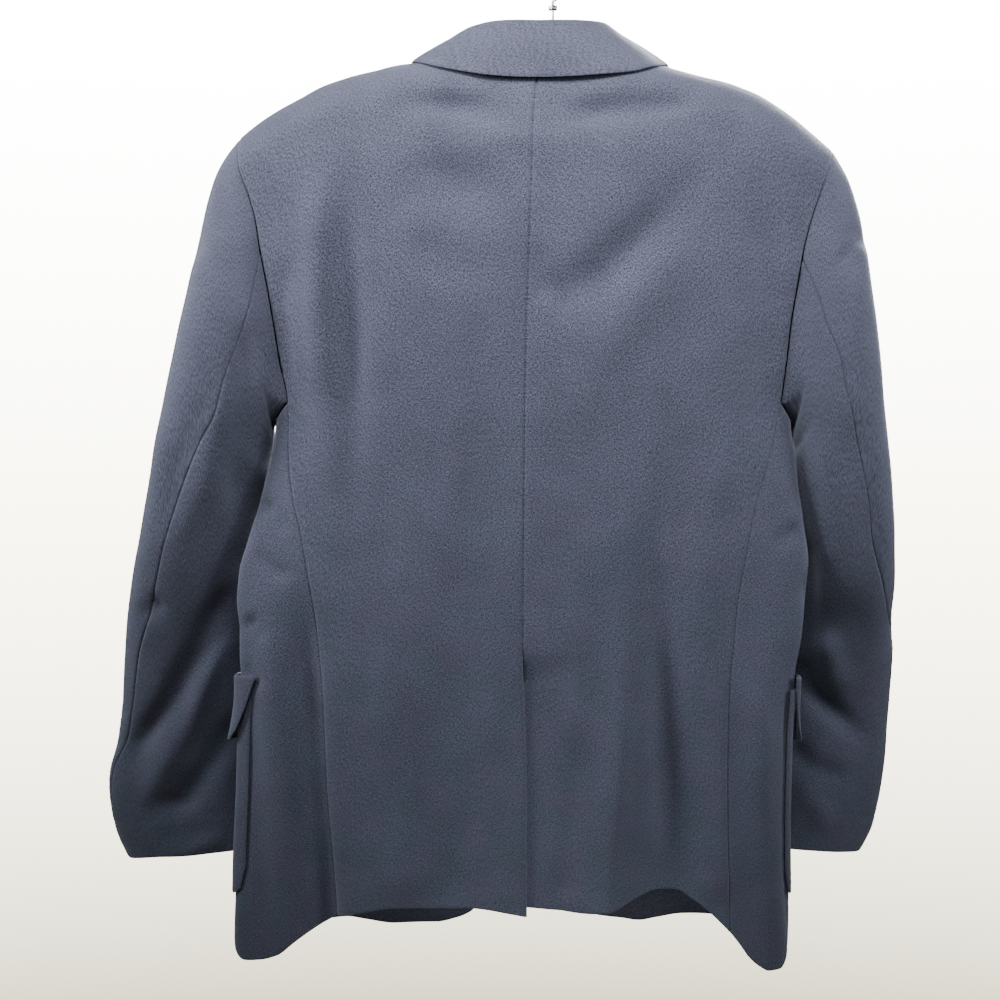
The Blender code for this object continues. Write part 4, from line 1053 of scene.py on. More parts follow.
@dataclass
class Shell:
    """A thin wall of cloth over a fine grid of outer points, bent by its folds."""

    name: str
    grid: np.ndarray
    centre: Spot
    regions: tuple[Region, ...] = ()
    edges: Edges = field(default_factory=Edges)
    thickness: float = CLOTH
    roll: float = 1.3
    roll_reach: float = 2.6
    unevenness: float = 1.0
    pucker: float = 0.22
    still_line: np.ndarray | None = None
    allowance: float = 0.0
    open_below: float = -math.inf

    def grid_normals(self, grid: np.ndarray) -> np.ndarray:
        """Outward normals of a grid."""
        across = np.gradient(grid, axis=0)
        down = np.gradient(grid, axis=1)
        normals = unit(np.cross(across, down))
        balance = np.sum(normals * unit(grid - np.array(self.centre)))
        return normals if balance > 0 else -normals

    def edge_distances(self) -> dict[str, np.ndarray]:
        """Distance along the cloth of every point from each of the four edges."""
        grid = self.grid
        across = np.linalg.norm(np.diff(grid, axis=0), axis=2)
        down = np.linalg.norm(np.diff(grid, axis=1), axis=2)
        first = np.concatenate((np.zeros((1, grid.shape[1])), np.cumsum(across, axis=0)))
        top = np.concatenate((np.zeros((grid.shape[0], 1)), np.cumsum(down, axis=1)), axis=1)
        return {"first": first, "last": first[-1:] - first, "top": top, "foot": top[:, -1:] - top}

    def fold_offsets(self, normals: np.ndarray) -> np.ndarray:
        """How far each point moves outwards for folds and unevenness, less near the still line."""
        grid = self.grid
        total = np.zeros(grid.shape[:2])
        for region in self.regions:
            facing = normals[..., 1] * (-1 if region in FRONT_REGIONS else 1)
            for crease in FOLDS[region]:
                total += crease.shift(grid) * smoothstep((facing + TURN_START) / TURN_REACH)
        fall = np.clip((UNEVEN_TOP - grid[..., 2]) / UNEVEN_DROP, UNEVEN_LEAST, 1.0)
        for wave in UNEVENNESS:
            turn = 2 * math.pi * (grid[..., 0] / wave.across + grid[..., 2] / wave.down) + wave.phase
            total += self.unevenness * wave.height * fall * np.sin(turn + np.sign(normals[..., 1]))
        if self.still_line is not None:
            away = np.full(grid.shape[:2], np.inf)
            for spot in self.still_line:
                away = np.minimum(away, np.linalg.norm(grid - spot, axis=2))
            total *= smoothstep(away / STILL_REACH)
        return total

    def edge_offsets(self, place: str, distance: np.ndarray) -> np.ndarray:
        """How far each point moves outwards for one edge: its roll, a seam's pucker, a hem's line.

        Args:
            place: The edge's name.
            distance: Distance of each point from it.

        Returns:
            One distance in millimetres for each point.
        """
        kind, height = getattr(self.edges, place), self.grid[..., 2]
        depth = self.roll if kind is EdgeKind.SEAM else self.roll * FREE_EDGE_SHARE
        if place == "first":
            depth = np.where(height < self.open_below, VENT_ROLL, depth)
        total = -depth * np.clip(1 - distance / self.roll_reach, 0, 1) ** 2
        if kind is EdgeKind.SEAM:
            run = height * PUCKER_DOWN + self.grid[..., 0] * PUCKER_ACROSS
            gather = np.sin(run) * np.sin(run * PUCKER_BEAT + 1.0)
            total += self.pucker * gather * np.exp(-distance / PUCKER_REACH)
        if kind is EdgeKind.HEM:
            total -= HEM_LINE_DEPTH * np.exp(-((distance - HEM_LINE_HEIGHT) / HEM_LINE_WIDTH) ** 2)
        return total

    def bent(self, normals: np.ndarray, distances: dict[str, np.ndarray]) -> np.ndarray:
        """The grid with every point moved outwards for its folds and edges."""
        total = self.fold_offsets(normals)
        for place, distance in distances.items():
            total += self.edge_offsets(place, distance)
        return self.grid + normals * total[..., None]

    def build(self) -> bpy.types.Object:
        """Make the shell's object.

        Returns:
            A closed mesh object with a UV map in metres along the cloth.
        """
        distances = self.edge_distances()
        outer = self.bent(self.grid_normals(self.grid), distances)
        normals = self.grid_normals(outer)
        if self.allowance:
            outward = unit(outer[:, :1] - outer[:, 2:3]) * self.allowance
            tuck = normals[:, :1] * self.thickness * ALLOWANCE_TUCK
            outer = np.concatenate((outer[:, :1] + outward - tuck, outer), axis=1)
            normals = np.concatenate((normals[:, :1], normals), axis=1)
            for place, value in distances.items():
                start = value[:, :1] - self.allowance * (place == "top")
                distances[place] = np.concatenate((start, value), axis=1)
        inner = outer - normals * self.thickness
        points = np.concatenate((outer.reshape(-1, 3), inner.reshape(-1, 3))) * MM
        spots = np.stack((distances["first"], -distances["top"]), axis=-1).reshape(-1, 2) * MM
        return make_piece(self.name, points, shell_faces(outer, normals), np.concatenate((spots, spots)))


def shell_faces(outer: np.ndarray, normals: np.ndarray) -> list[list[int]]:
    """Faces of a closed shell: its outer side, its inner side and the rim between them.

    Args:
        outer: Grid of the outer points, which are numbered before the inner ones.
        normals: Outward normals of the grid.

    Returns:
        Four point numbers for each face.
    """
    columns, down = outer.shape[:2]
    count = columns * down
    index = np.arange(count).reshape(columns, down)
    a, b = index[:-1, :-1].ravel(), index[1:, :-1].ravel()
    c, d = index[1:, 1:].ravel(), index[:-1, 1:].ravel()
    points = outer.reshape(-1, 3)
    facing = np.cross(points[b] - points[a], points[d] - points[a])
    inward = np.sum(facing * normals.reshape(-1, 3)[a]) < 0
    if inward:
        b, d = d, b
    rim = np.concatenate((index[:, 0], index[-1, 1:], index[-2::-1, -1], index[0, -2:0:-1]))
    after = np.roll(rim, -1)
    near, far = (rim, after) if inward else (after, rim)
    quads = (np.stack((a, b, c, d), axis=1), np.stack((a, d, c, b), axis=1) + count,
             np.stack((near, far, far + count, near + count), axis=1))
    return np.concatenate(quads).tolist()


# Angles in degrees over which an edge stays sharp
SHARP_ANGLE = 50.0
BUTTON_SHARP_ANGLE = 40.0


def make_piece(name: str, points: np.ndarray, faces: Sequence[Sequence[int]],
               spots: np.ndarray | None = None) -> bpy.types.Object:
    """Make a smooth mesh object.

    Args:
        name: The piece's name.
        points: Vertices in metres.
        faces: Vertex numbers of each face.
        spots: UV place of each vertex, in metres along the cloth.

    Returns:
        The linked object.
    """
    mesh = bpy.data.meshes.new(name)
    mesh.from_pydata(points.tolist(), [], faces)
    if spots is not None:
        layer = mesh.uv_layers.new(name="cloth")
        corners = np.empty(len(mesh.loops), np.int32)
        mesh.loops.foreach_get("vertex_index", corners)
        layer.data.foreach_set("uv", spots[corners].astype(np.float32).ravel())
    mesh.shade_smooth()
    mesh.set_sharp_from_angle(angle=math.radians(SHARP_ANGLE))
    return add_object(name, mesh)


class Tree:
    """A node tree, with short calls for building it."""

    def __init__(self, tree: bpy.types.NodeTree) -> None:
        """Start with an empty tree."""
        self.tree = tree
        self.tree.nodes.clear()

    def add(self, kind: str, **values: object) -> bpy.types.Node:
        """Add a node and set its properties and sockets.

        Args:
            kind: The node's type.
            **values: Properties by name, or socket values by name with spaces as underscores.

        Returns:
            The node.
        """
        node = self.tree.nodes.new(kind)
        for key, value in values.items():
            if hasattr(node, key):
                setattr(node, key, value)
            else:
                node.inputs[key.replace("_", " ").title()].default_value = value
        return node

    def join(self, source: bpy.types.NodeSocket, target: bpy.types.NodeSocket) -> None:
        """Link two sockets."""
        self.tree.links.new(source, target)

    def chain(self, *links: tuple[bpy.types.Node, str, bpy.types.Node, str]) -> None:
        """Link nodes, each link given as a node, its output, a second node and that one's input."""
        for start, out, end, into in links:
            self.join(start.outputs[out], end.inputs[into])

    def put(self, value: object, target: bpy.types.NodeSocket) -> None:
        """Link a socket to another one, or give it a plain value."""
        if isinstance(value, bpy.types.NodeSocket):
            self.join(value, target)
        else:
            target.default_value = value

    def noise(self, place: bpy.types.NodeSocket, scale: float, detail: float = 3.0,
              roughness: float = 0.55) -> bpy.types.NodeSocket:
        """A noise of the given scale, as its factor."""
        node = self.add("ShaderNodeTexNoise", scale=scale, detail=detail, roughness=roughness)
        self.join(place, node.inputs["Vector"])
        return node.outputs["Fac"]

    def stretched(self, place: bpy.types.NodeSocket, scale: Spot) -> bpy.types.NodeSocket:
        """A place scaled along each axis."""
        node = self.add("ShaderNodeMapping", scale=scale)
        self.join(place, node.inputs["Vector"])
        return node.outputs["Vector"]

    def spread(self, source: bpy.types.NodeSocket, low: float, high: float, to_low: float = 0.0,
               to_high: float = 1.0) -> bpy.types.NodeSocket:
        """Map one range of a value to another, held at its ends."""
        node = self.add("ShaderNodeMapRange", from_min=low, from_max=high, to_min=to_low, to_max=to_high)
        self.join(source, node.inputs["Value"])
        return node.outputs["Result"]

    def blend(self, factor: object, first: object, second: object) -> bpy.types.NodeSocket:
        """Mix two colours. Each is a socket or a colour."""
        node = self.add("ShaderNodeMix", data_type="RGBA")
        for index, value in ((0, factor), (6, first), (7, second)):
            self.put(value, node.inputs[index])
        return node.outputs[2]

    def math(self, operation: str, first: object, second: object) -> bpy.types.NodeSocket:
        """Work out a value from two others, each a socket or a number."""
        node = self.add("ShaderNodeMath", operation=operation)
        for index, value in enumerate((first, second)):
            self.put(value, node.inputs[index])
        return node.outputs[0]


class Surface(Tree):
    """A material's node tree, with its shader and its place on the object."""

    def __init__(self, name: str) -> None:
        """Start a material with a shader and an output."""
        self.material = bpy.data.materials.new(name)
        self.material.use_nodes = True
        super().__init__(self.material.node_tree)
        self.shader = self.add("ShaderNodeBsdfPrincipled")
        output = self.add("ShaderNodeOutputMaterial")
        self.join(self.shader.outputs["BSDF"], output.inputs["Surface"])
        self.own = self.add("ShaderNodeTexCoord").outputs["Object"]

    def feed(self, **values: object) -> None:
        """Give sockets of the shader, by name with spaces as underscores, a value or a link."""
        for key, value in values.items():
            self.put(value, self.shader.inputs[key.replace("_", " ")])

    def bump(self, height: bpy.types.NodeSocket, strength: float, distance: float,
             below: bpy.types.NodeSocket | None = None) -> bpy.types.NodeSocket:
        """A bump on the shader's normal, over another one where given."""
        node = self.add("ShaderNodeBump", strength=strength, distance=distance)
        self.join(height, node.inputs["Height"])
        if below is not None:
            self.join(below, node.inputs["Normal"])
        self.feed(Normal=node.outputs["Normal"])
        return node.outputs["Normal"]


class Noise(NamedTuple):
    """A noise pattern of a finish."""

    scale: float
    detail: float = 3.0
    roughness: float = 0.55


# Radians that a wave texture turns over one metre at a scale of one
WAVE_TURN = 20


@dataclass(frozen=True)
class WoolFinish:
    """Fine wool cloth: a close plain weave of uneven yarn, a short nap, a few specks of lint and painted
    light that brightens it upwards.
    """

    name: str = "navy wool"
    colour: Colour = (0.034, 0.034, 0.059, 1.0)
    colour_cool: Colour = (0.022, 0.037, 0.052, 1.0)
    light_yarn: Colour = (0.106, 0.112, 0.168, 1.0)
    dark_yarn: Colour = (0.005, 0.006, 0.013, 1.0)
    lint: Colour = (0.15, 0.15, 0.16, 1.0)
    yarn_spacing: float = 0.00085
    yarn_stretch: float = 0.35
    slub: Noise = Noise(1450.0, 2.0, 0.75)
    slub_range: tuple[float, float] = (0.85, 1.19)
    mottle: Noise = Noise(24.0, 3.0, 0.5)
    mottle_share: float = 0.20
    dye: Noise = Noise(34.0, 2.0, 0.5)
    nap: Noise = Noise(900.0, 2.0, 0.6)
    nap_roughness: float = 0.12
    # Heights in metres, and shares of the lighter weave there, of the painted light that brightens the cloth
    # upwards
    painted_light_heights: tuple[float, float] = (-0.80, -0.30)
    painted_light_shares: tuple[float, float] = (0.42, 0.95)
    lint_cells: float = 120.0
    lint_patches: Noise = Noise(61.0, 1.0)
    lint_strength: float = 0.7
    roughness: float = 0.82
    specular: float = 0.22
    sheen: float = 0.24
    sheen_roughness: float = 0.45
    sheen_tint: Colour = (0.70, 0.76, 0.95, 1.0)

    def weave(self, nodes: Surface, uv: bpy.types.NodeSocket) -> bpy.types.NodeSocket:
        """Crossing yarns, as the relief of the weave."""
        waves = []
        for direction in "XY":
            wave = nodes.add("ShaderNodeTexWave", bands_direction=direction, distortion=1.4, detail=1.5,
                             scale=2 * math.pi / self.yarn_spacing / WAVE_TURN, detail_scale=1.2)
            nodes.join(uv, wave.inputs["Vector"])
            waves.append(wave.outputs["Fac"])
        return nodes.math("MULTIPLY", *waves)

    def fleck(self, nodes: Surface) -> bpy.types.NodeSocket:
        """Rare small specks of lint, as how much they cover."""
        cells = nodes.add("ShaderNodeTexVoronoi", scale=self.lint_cells)
        nodes.join(nodes.own, cells.inputs["Vector"])
        speck = nodes.spread(cells.outputs["Distance"], 0.05, 0.08, 1.0, 0.0)
        rare = nodes.spread(nodes.noise(nodes.own, *self.lint_patches), 0.66, 0.69)
        return nodes.math("MULTIPLY", nodes.math("MULTIPLY", speck, rare), self.lint_strength)

    def material(self) -> bpy.types.Material:
        """Build the cloth's material from its UV map in metres."""
        nodes = Surface(self.name)
        own = nodes.own
        uv = nodes.add("ShaderNodeUVMap", uv_map="cloth").outputs["UV"]
        slub = nodes.noise(nodes.stretched(uv, (1.0, self.yarn_stretch, 1.0)), *self.slub)
        slub_across = nodes.noise(nodes.stretched(uv, (self.yarn_stretch, 1.0, 1.0)), *self.slub)
        yarn = nodes.math("ADD", slub, slub_across)
        ground = nodes.blend(nodes.spread(yarn, *self.slub_range), self.dark_yarn, self.light_yarn)
        # Painted light: by height, the lighter speckled weave gives way to the darker plain dye lower down,
        # as if lit from above
        split = nodes.add("ShaderNodeSeparateXYZ")
        nodes.join(own, split.inputs["Vector"])
        painted_top_light = nodes.spread(split.outputs["Z"], *self.painted_light_heights, *self.painted_light_shares)
        dye = nodes.spread(nodes.noise(own, *self.dye), 0.38, 0.62)
        ground = nodes.blend(painted_top_light, nodes.blend(dye, self.colour, self.colour_cool), ground)
        mottle = nodes.spread(nodes.noise(own, *self.mottle), 0.3, 0.7, 0.0, self.mottle_share)
        shade = nodes.blend(mottle, ground, self.dark_yarn)
        nap = nodes.math("MULTIPLY", nodes.noise(own, *self.nap), self.nap_roughness)
        rough = nodes.math("ADD", nap, self.roughness - self.nap_roughness / 2)
        nodes.feed(Base_Color=nodes.blend(self.fleck(nodes), shade, self.lint), Roughness=rough,
                   Specular_IOR_Level=self.specular, Sheen_Weight=self.sheen,
                   Sheen_Roughness=self.sheen_roughness, Sheen_Tint=self.sheen_tint)
        nodes.bump(self.weave(nodes, uv), 0.30, 0.0004, nodes.bump(yarn, 0.35, 0.0006))
        return nodes.material


@dataclass(frozen=True)
class MarkedFinish:
    """An even surface with marks of a second colour, which change its gloss too, and a fine relief."""

    name: str
    colour: Colour
    marked: Colour
    marks: Noise
    mark_range: tuple[float, float]
    gloss: tuple[float, float]
    relief: Noise
    relief_strength: float
    relief_depth: float
    metallic: float = 0.0
    sheen: float = 0.0

    def material(self) -> bpy.types.Material:
        """Build the material."""
        nodes = Surface(self.name)
        marks = nodes.noise(nodes.own, *self.marks)
        nodes.feed(Base_Color=nodes.blend(nodes.spread(marks, *self.mark_range), self.colour, self.marked),
                   Roughness=nodes.spread(marks, 0.3, 0.7, *self.gloss), Metallic=self.metallic,
                   Sheen_Weight=self.sheen)
        nodes.bump(nodes.noise(nodes.own, *self.relief), self.relief_strength, self.relief_depth)
        return nodes.material


# The wool felt under the collar, a dark moulded hanger with worn high spots, and drawn steel wire
FELT = MarkedFinish(
    "undercollar felt", (0.085, 0.095, 0.125, 1.0), (0.15, 0.165, 0.20, 1.0), Noise(1100.0, 4.0, 0.7),
    (0.4, 0.65), (0.95, 0.95), Noise(1100.0, 4.0, 0.7), 0.3, 0.0005, sheen=0.4,
)
MOULDED = MarkedFinish(
    "moulded hanger", (0.020, 0.018, 0.018, 1.0), (0.055, 0.050, 0.048, 1.0), Noise(45.0, 4.0, 0.6),
    (0.55, 0.8), (0.35, 0.5), Noise(1500.0), 0.15, 0.0003,
)
STEEL_WIRE = MarkedFinish(
    "drawn steel wire", (0.44, 0.44, 0.43, 1.0), (0.22, 0.22, 0.21, 1.0), Noise(160.0, 4.0, 0.65),
    (0.55, 0.75), (0.18, 0.42), Noise(2400.0, 2.0), 0.12, 0.0002, metallic=1.0,
)


@dataclass(frozen=True)
class ThreadFinish:
    """Twisted sewing thread, a little lighter and glossier than the cloth."""

    name: str = "sewing thread"
    colour: Colour = (0.030, 0.036, 0.055, 1.0)
    light: Colour = (0.075, 0.085, 0.115, 1.0)
    twist: float = 900.0
    roughness: float = 0.55

    def material(self) -> bpy.types.Material:
        """Build the thread's material."""
        nodes = Surface(self.name)
        twist = nodes.add("ShaderNodeTexWave", bands_direction="DIAGONAL", scale=self.twist, distortion=0.6)
        nodes.join(nodes.own, twist.inputs["Vector"])
        strands = twist.outputs["Fac"]
        nodes.feed(Base_Color=nodes.blend(strands, self.colour, self.light), Roughness=self.roughness)
        nodes.bump(strands, 0.4, 0.0002)
        return nodes.material


@dataclass(frozen=True)
class HornFinish:
    """Dark polished button plastic made to look like horn, with slow lighter streaks."""

    name: str = "dark horn button"
    colour: Colour = (0.012, 0.010, 0.010, 1.0)
    streak: Colour = (0.050, 0.038, 0.030, 1.0)
    streaks: Noise = Noise(260.0, 5.0, 0.6)
    streak_stretch: Spot = (1.0, 1.0, 0.25)
    scuffs: Noise = Noise(1400.0)
    gloss: tuple[float, float] = (0.22, 0.38)
    coat: float = 0.25

    def material(self) -> bpy.types.Material:
        """Build the button's material."""
        nodes = Surface(self.name)
        streaks = nodes.noise(nodes.stretched(nodes.own, self.streak_stretch), *self.streaks)
        scuffs = nodes.noise(nodes.own, *self.scuffs)
        nodes.feed(Base_Color=nodes.blend(nodes.spread(streaks, 0.45, 0.7), self.colour, self.streak),
                   Roughness=nodes.spread(scuffs, 0.3, 0.7, *self.gloss), Coat_Weight=self.coat)
        return nodes.material


def add_object(name: str, data: bpy.types.ID) -> bpy.types.Object:
    """Make an object of a mesh, lamp or camera and link it to the scene."""
    made = bpy.data.objects.new(name, data)
    bpy.context.scene.collection.objects.link(made)
    return made


def finished(work: bmesh.types.BMesh, name: str) -> bpy.types.Object:
    """Turn a mesh in work into a linked object."""
    mesh = bpy.data.meshes.new(name)
    work.to_mesh(mesh)
    work.free()
    return add_object(name, mesh)


def dress(piece: bpy.types.Object, material: bpy.types.Material) -> bpy.types.Object:
    """Give a piece its one material."""
    piece.data.materials.clear()
    piece.data.materials.append(material)
    return piece


def declare(piece: bpy.types.Object, slot: str, *nodes: str) -> bpy.types.Object:
    """Let a piece ride on the blazer's one body and stand for its solids."""
    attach(piece, "root")
    if nodes:
        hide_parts(*nodes)
    LOG.info("%s: %d faces", piece.name, len(piece.data.polygons))
    return piece


class Cut(NamedTuple):
    """The flat piece of cloth that a panel is cut from, in metres, and the share of it that is used."""

    width: float
    length: float
    share: float


@dataclass
class StitchRow:
    """A row of stitches along a line, made with Geometry Nodes and turned into plain meshes."""

    name: str
    points: np.ndarray
    spacing: float = 4.0
    length: float = 2.6
    thickness: float = 0.28

    def bead(self) -> bpy.types.Object:
        """One stitch as a small rounded bead of radius one, which the tree scales."""
        work = bmesh.new()
        bmesh.ops.create_icosphere(work, subdivisions=1, radius=1.0)
        mesh = bpy.data.meshes.new(self.name + "_bead")
        work.to_mesh(mesh)
        work.free()
        return bpy.data.objects.new(self.name + "_bead", mesh)

    def tree(self, thread: bpy.types.Material) -> bpy.types.NodeTree:
        """The node tree that lays beads along a curve.

        Args:
            thread: The material the stitches get.

        Returns:
            The tree, with inputs for its spacing, length and thickness.
        """
        tree = bpy.data.node_groups.new(self.name + "_tree", "GeometryNodeTree")
        sockets = {"Geometry": "Geometry", "Spacing": "Float", "Length": "Float", "Thickness": "Float",
                   "Bead": "Object"}
        for label, kind in sockets.items():
            tree.interface.new_socket(label, in_out="INPUT", socket_type="NodeSocket" + kind)
        tree.interface.new_socket("Geometry", in_out="OUTPUT", socket_type="NodeSocketGeometry")
        nodes = Tree(tree)
        source, result = nodes.add("NodeGroupInput"), nodes.add("NodeGroupOutput")
        line = nodes.add("GeometryNodeMeshToCurve")
        marks = nodes.add("GeometryNodeCurveToPoints", mode="LENGTH")
        bead, size = nodes.add("GeometryNodeObjectInfo"), nodes.add("ShaderNodeCombineXYZ")
        place = nodes.add("GeometryNodeInstanceOnPoints")
        real = nodes.add("GeometryNodeRealizeInstances")
        coat = nodes.add("GeometryNodeSetMaterial", material=thread)
        nodes.chain(
            (source, "Geometry", line, "Mesh"),
            (line, "Curve", marks, "Curve"),
            (source, "Spacing", marks, "Length"),
            (source, "Bead", bead, "Object"),
            (source, "Thickness", size, "X"),
            (source, "Thickness", size, "Y"),
            (source, "Length", size, "Z"),
            (marks, "Points", place, "Points"),
            (bead, "Geometry", place, "Instance"),
            (marks, "Rotation", place, "Rotation"),
            (size, "Vector", place, "Scale"),
            (place, "Instances", real, "Geometry"),
            (real, "Geometry", coat, "Geometry"),
            (coat, "Geometry", result, "Geometry"),
        )
        return tree

    def build(self, thread: bpy.types.Material) -> bpy.types.Object:
        """Lay the stitches and return them as one plain mesh."""
        mesh = bpy.data.meshes.new(self.name + "_line")
        steps = [(i, i + 1) for i in range(len(self.points) - 1)]
        mesh.from_pydata((self.points * MM).tolist(), steps, [])
        line, bead, tree = add_object(self.name + "_line", mesh), self.bead(), self.tree(thread)
        modifier = line.modifiers.new("stitches", "NODES")
        modifier.node_group = tree
        values = {"Spacing": self.spacing * MM, "Length": self.length * MM / 2,
                  "Thickness": self.thickness * MM, "Bead": bead}
        for item in tree.interface.items_tree:
            if item.in_out == "INPUT" and item.name in values:
                modifier[item.identifier] = values[item.name]
        laid = bpy.data.meshes.new_from_object(line.evaluated_get(bpy.context.evaluated_depsgraph_get()))
        laid.shade_smooth()
        made = add_object(self.name, laid)
        bpy.data.objects.remove(line)
        bpy.data.objects.remove(bead)
        bpy.data.node_groups.remove(tree)
        return made


# Steps of the grids: across a panel, down to the armpit and on to the hem, and along the smaller pieces
PANEL_ACROSS = 100
SIDE_ACROSS = 48
UPPER_ROWS = 90
LOWER_ROWS = 120
SLEEVE_ROWS = 210
TOP_SLEEVE_ACROSS = 84
UNDER_SLEEVE_ACROSS = 64
COLLAR_ALONG = 150
LAPEL_STEPS = (44, 110)
ARMHOLE_SPOTS = 4 * RING_STEPS + 1
# Grid lines that edge stitches lie inside a patch's edge, and how high they lie on the cloth
STITCH_INSET = 3
STITCH_LIFT = 0.05


@dataclass
class Jacket:
    """The blazer's cloth: body, sleeves, collar, lapels and pockets."""

    cloth: bpy.types.Material
    felt: bpy.types.Material
    thread: bpy.types.Material

    def panel(self, kind: str, shell: Shell, *rests_on: str) -> bpy.types.Object:
        """Args:
            kind: Which of the cuts it is made from. Not used.
            shell: Its shape.
            *rests_on: Pieces and nodes that it hangs from. Not used.

        Returns:
            The linked object.
        """
        piece = dress(shell.build(), self.cloth)
        declare(piece, "cloth", shell.name.removesuffix("_cloth"))
        return piece

    def body(self, form: BodyForm, armhole: np.ndarray) -> None:
        """Make one back, side panel and front."""
        word = form.side.word
        shared = {"centre": CHEST_MIDDLE, "regions": (Region.BACK, Region.FRONT), "still_line": armhole}
        back = Shell(f"back_{word}_cloth", back_grid(form, PANEL_ACROSS, UPPER_ROWS, LOWER_ROWS),
                     edges=Edges(foot=EdgeKind.HEM), open_below=VENT_TOP, **shared)
        self.panel("back", back, "hanger_arms")
        side = Shell(f"side_panel_{word}_cloth", side_grid(form, SIDE_ACROSS, LOWER_ROWS),
                     edges=Edges(foot=EdgeKind.HEM), **shared)
        self.panel("side_panel", side, f"back_{word}_cloth")
        front = Shell(f"front_{word}_cloth", front_grid(form, PANEL_ACROSS, UPPER_ROWS, LOWER_ROWS),
                      edges=Edges(first=EdgeKind.FOLD, foot=EdgeKind.HEM),
                      unevenness=0.8 if form.side is Side.LEFT else 0.4, **shared)
        self.panel("front", front, "hanger_arms")

    def sleeves(self, form: BodyForm, armhole: np.ndarray) -> None:
        """Make one top sleeve and one under sleeve."""
        word = form.side.word
        middle = tuple(form.place(*ARM_MIDDLE))
        halves = (
            ("top_sleeve", FORE_INDEX, HIND_INDEX + RING_STEPS, TOP_SLEEVE_ACROSS,
             (f"front_{word}_cloth", f"back_{word}_cloth")),
            ("under_sleeve", HIND_INDEX, FORE_INDEX, UNDER_SLEEVE_ACROSS, (f"side_panel_{word}_cloth",)),
        )
        for kind, start, end, across, rests_on in halves:
            grid = sleeve_grid(form, start, end, across, SLEEVE_ROWS)
            shell = Shell(f"{kind}_{word}_cloth", grid, middle, SLEEVE_REGIONS[form.side],
                          Edges(foot=EdgeKind.HEM), still_line=armhole, allowance=ARMHOLE_ALLOWANCE)
            self.panel(kind, shell, *rests_on)

    def collar(self) -> None:
        """Make the collar, its underside of felt."""
        shell = Shell("collar_cloth", collar_grid(COLLAR_ALONG), NECK_MIDDLE, unevenness=0.35, pucker=0.1,
                      edges=Edges(EdgeKind.FOLD, EdgeKind.FOLD, EdgeKind.SEAM, EdgeKind.FOLD))
        piece = self.panel("collar", shell, "back_left_cloth", "back_right_cloth")
        piece.data.materials.append(self.felt)
        slots = np.zeros(len(piece.data.polygons), np.int32)
        outer = (shell.grid.shape[0] - 1) * (shell.grid.shape[1] - 1)
        slots[outer:2 * outer] = 1
        piece.data.polygons.foreach_set("material_index", slots)

    def lapel(self, form: BodyForm) -> None:
        """Make one lapel."""
        word = form.side.word
        shell = Shell(f"lapel_{word}_cloth", lapel_grid(form, *LAPEL_STEPS), CHEST_MIDDLE,
                      edges=Edges(EdgeKind.SEAM, EdgeKind.FOLD, EdgeKind.FOLD, EdgeKind.FOLD),
                      unevenness=0.3, roll=0.5, pucker=0.0)
        self.panel("lapel", shell, f"front_{word}_cloth")

    def pockets(self, form: BodyForm) -> None:
        """Make one patch pocket and its flap, each with a row of edge stitches."""
        word = form.side.word
        patches = (("pocket", POCKETS, POCKET_SIZE, EdgeKind.FOLD, 0.4),
                   ("pocket_flap", FLAPS, FLAP_SIZE, EdgeKind.SEAM, 0.3))
        shells = []
        for kind, places, size, top, unevenness in patches:
            shell = Shell(f"{kind}_{word}_cloth", patch_grid(form, places[form.side], size), CHEST_MIDDLE,
                          edges=Edges(EdgeKind.FOLD, EdgeKind.FOLD, top, EdgeKind.FOLD),
                          unevenness=unevenness, pucker=0.1)
            self.panel(kind, shell, f"side_panel_{word}_cloth", f"front_{word}_cloth")
            shells.append(shell)
        for shell in shells:
            self.edge_stitches(shell)

    def edge_stitches(self, shell: Shell) -> None:
        """Lay stitches along the two sides and the foot of a patch."""
        normals = shell.grid_normals(shell.grid)
        outer = shell.bent(normals, shell.edge_distances()) + normals * STITCH_LIFT
        near, far = STITCH_INSET, -STITCH_INSET
        line = np.concatenate((outer[near, :far], outer[near:far, far], outer[far, far::-1]))
        row = StitchRow(shell.name.replace("_cloth", "_stitches"), line)
        declare(row.build(self.thread), "cloth")

    def build(self) -> None:
        """Make every cloth piece."""
        for side in Side:
            form = BodyForm(side)
            armhole = armhole_points(form, np.linspace(0, RING_STEPS, ARMHOLE_SPOTS))
            self.body(form, armhole)
            self.sleeves(form, armhole)
            self.lapel(form)
            self.pockets(form)
        self.collar()


# A button's thread from hole to hole: its share of the way to the hole, and its depth in the face
THREAD_LINE = ((1.0, 0.8), (0.5, 0.7), (0.0, 0.6), (-0.5, 0.7), (-1.0, 0.8))


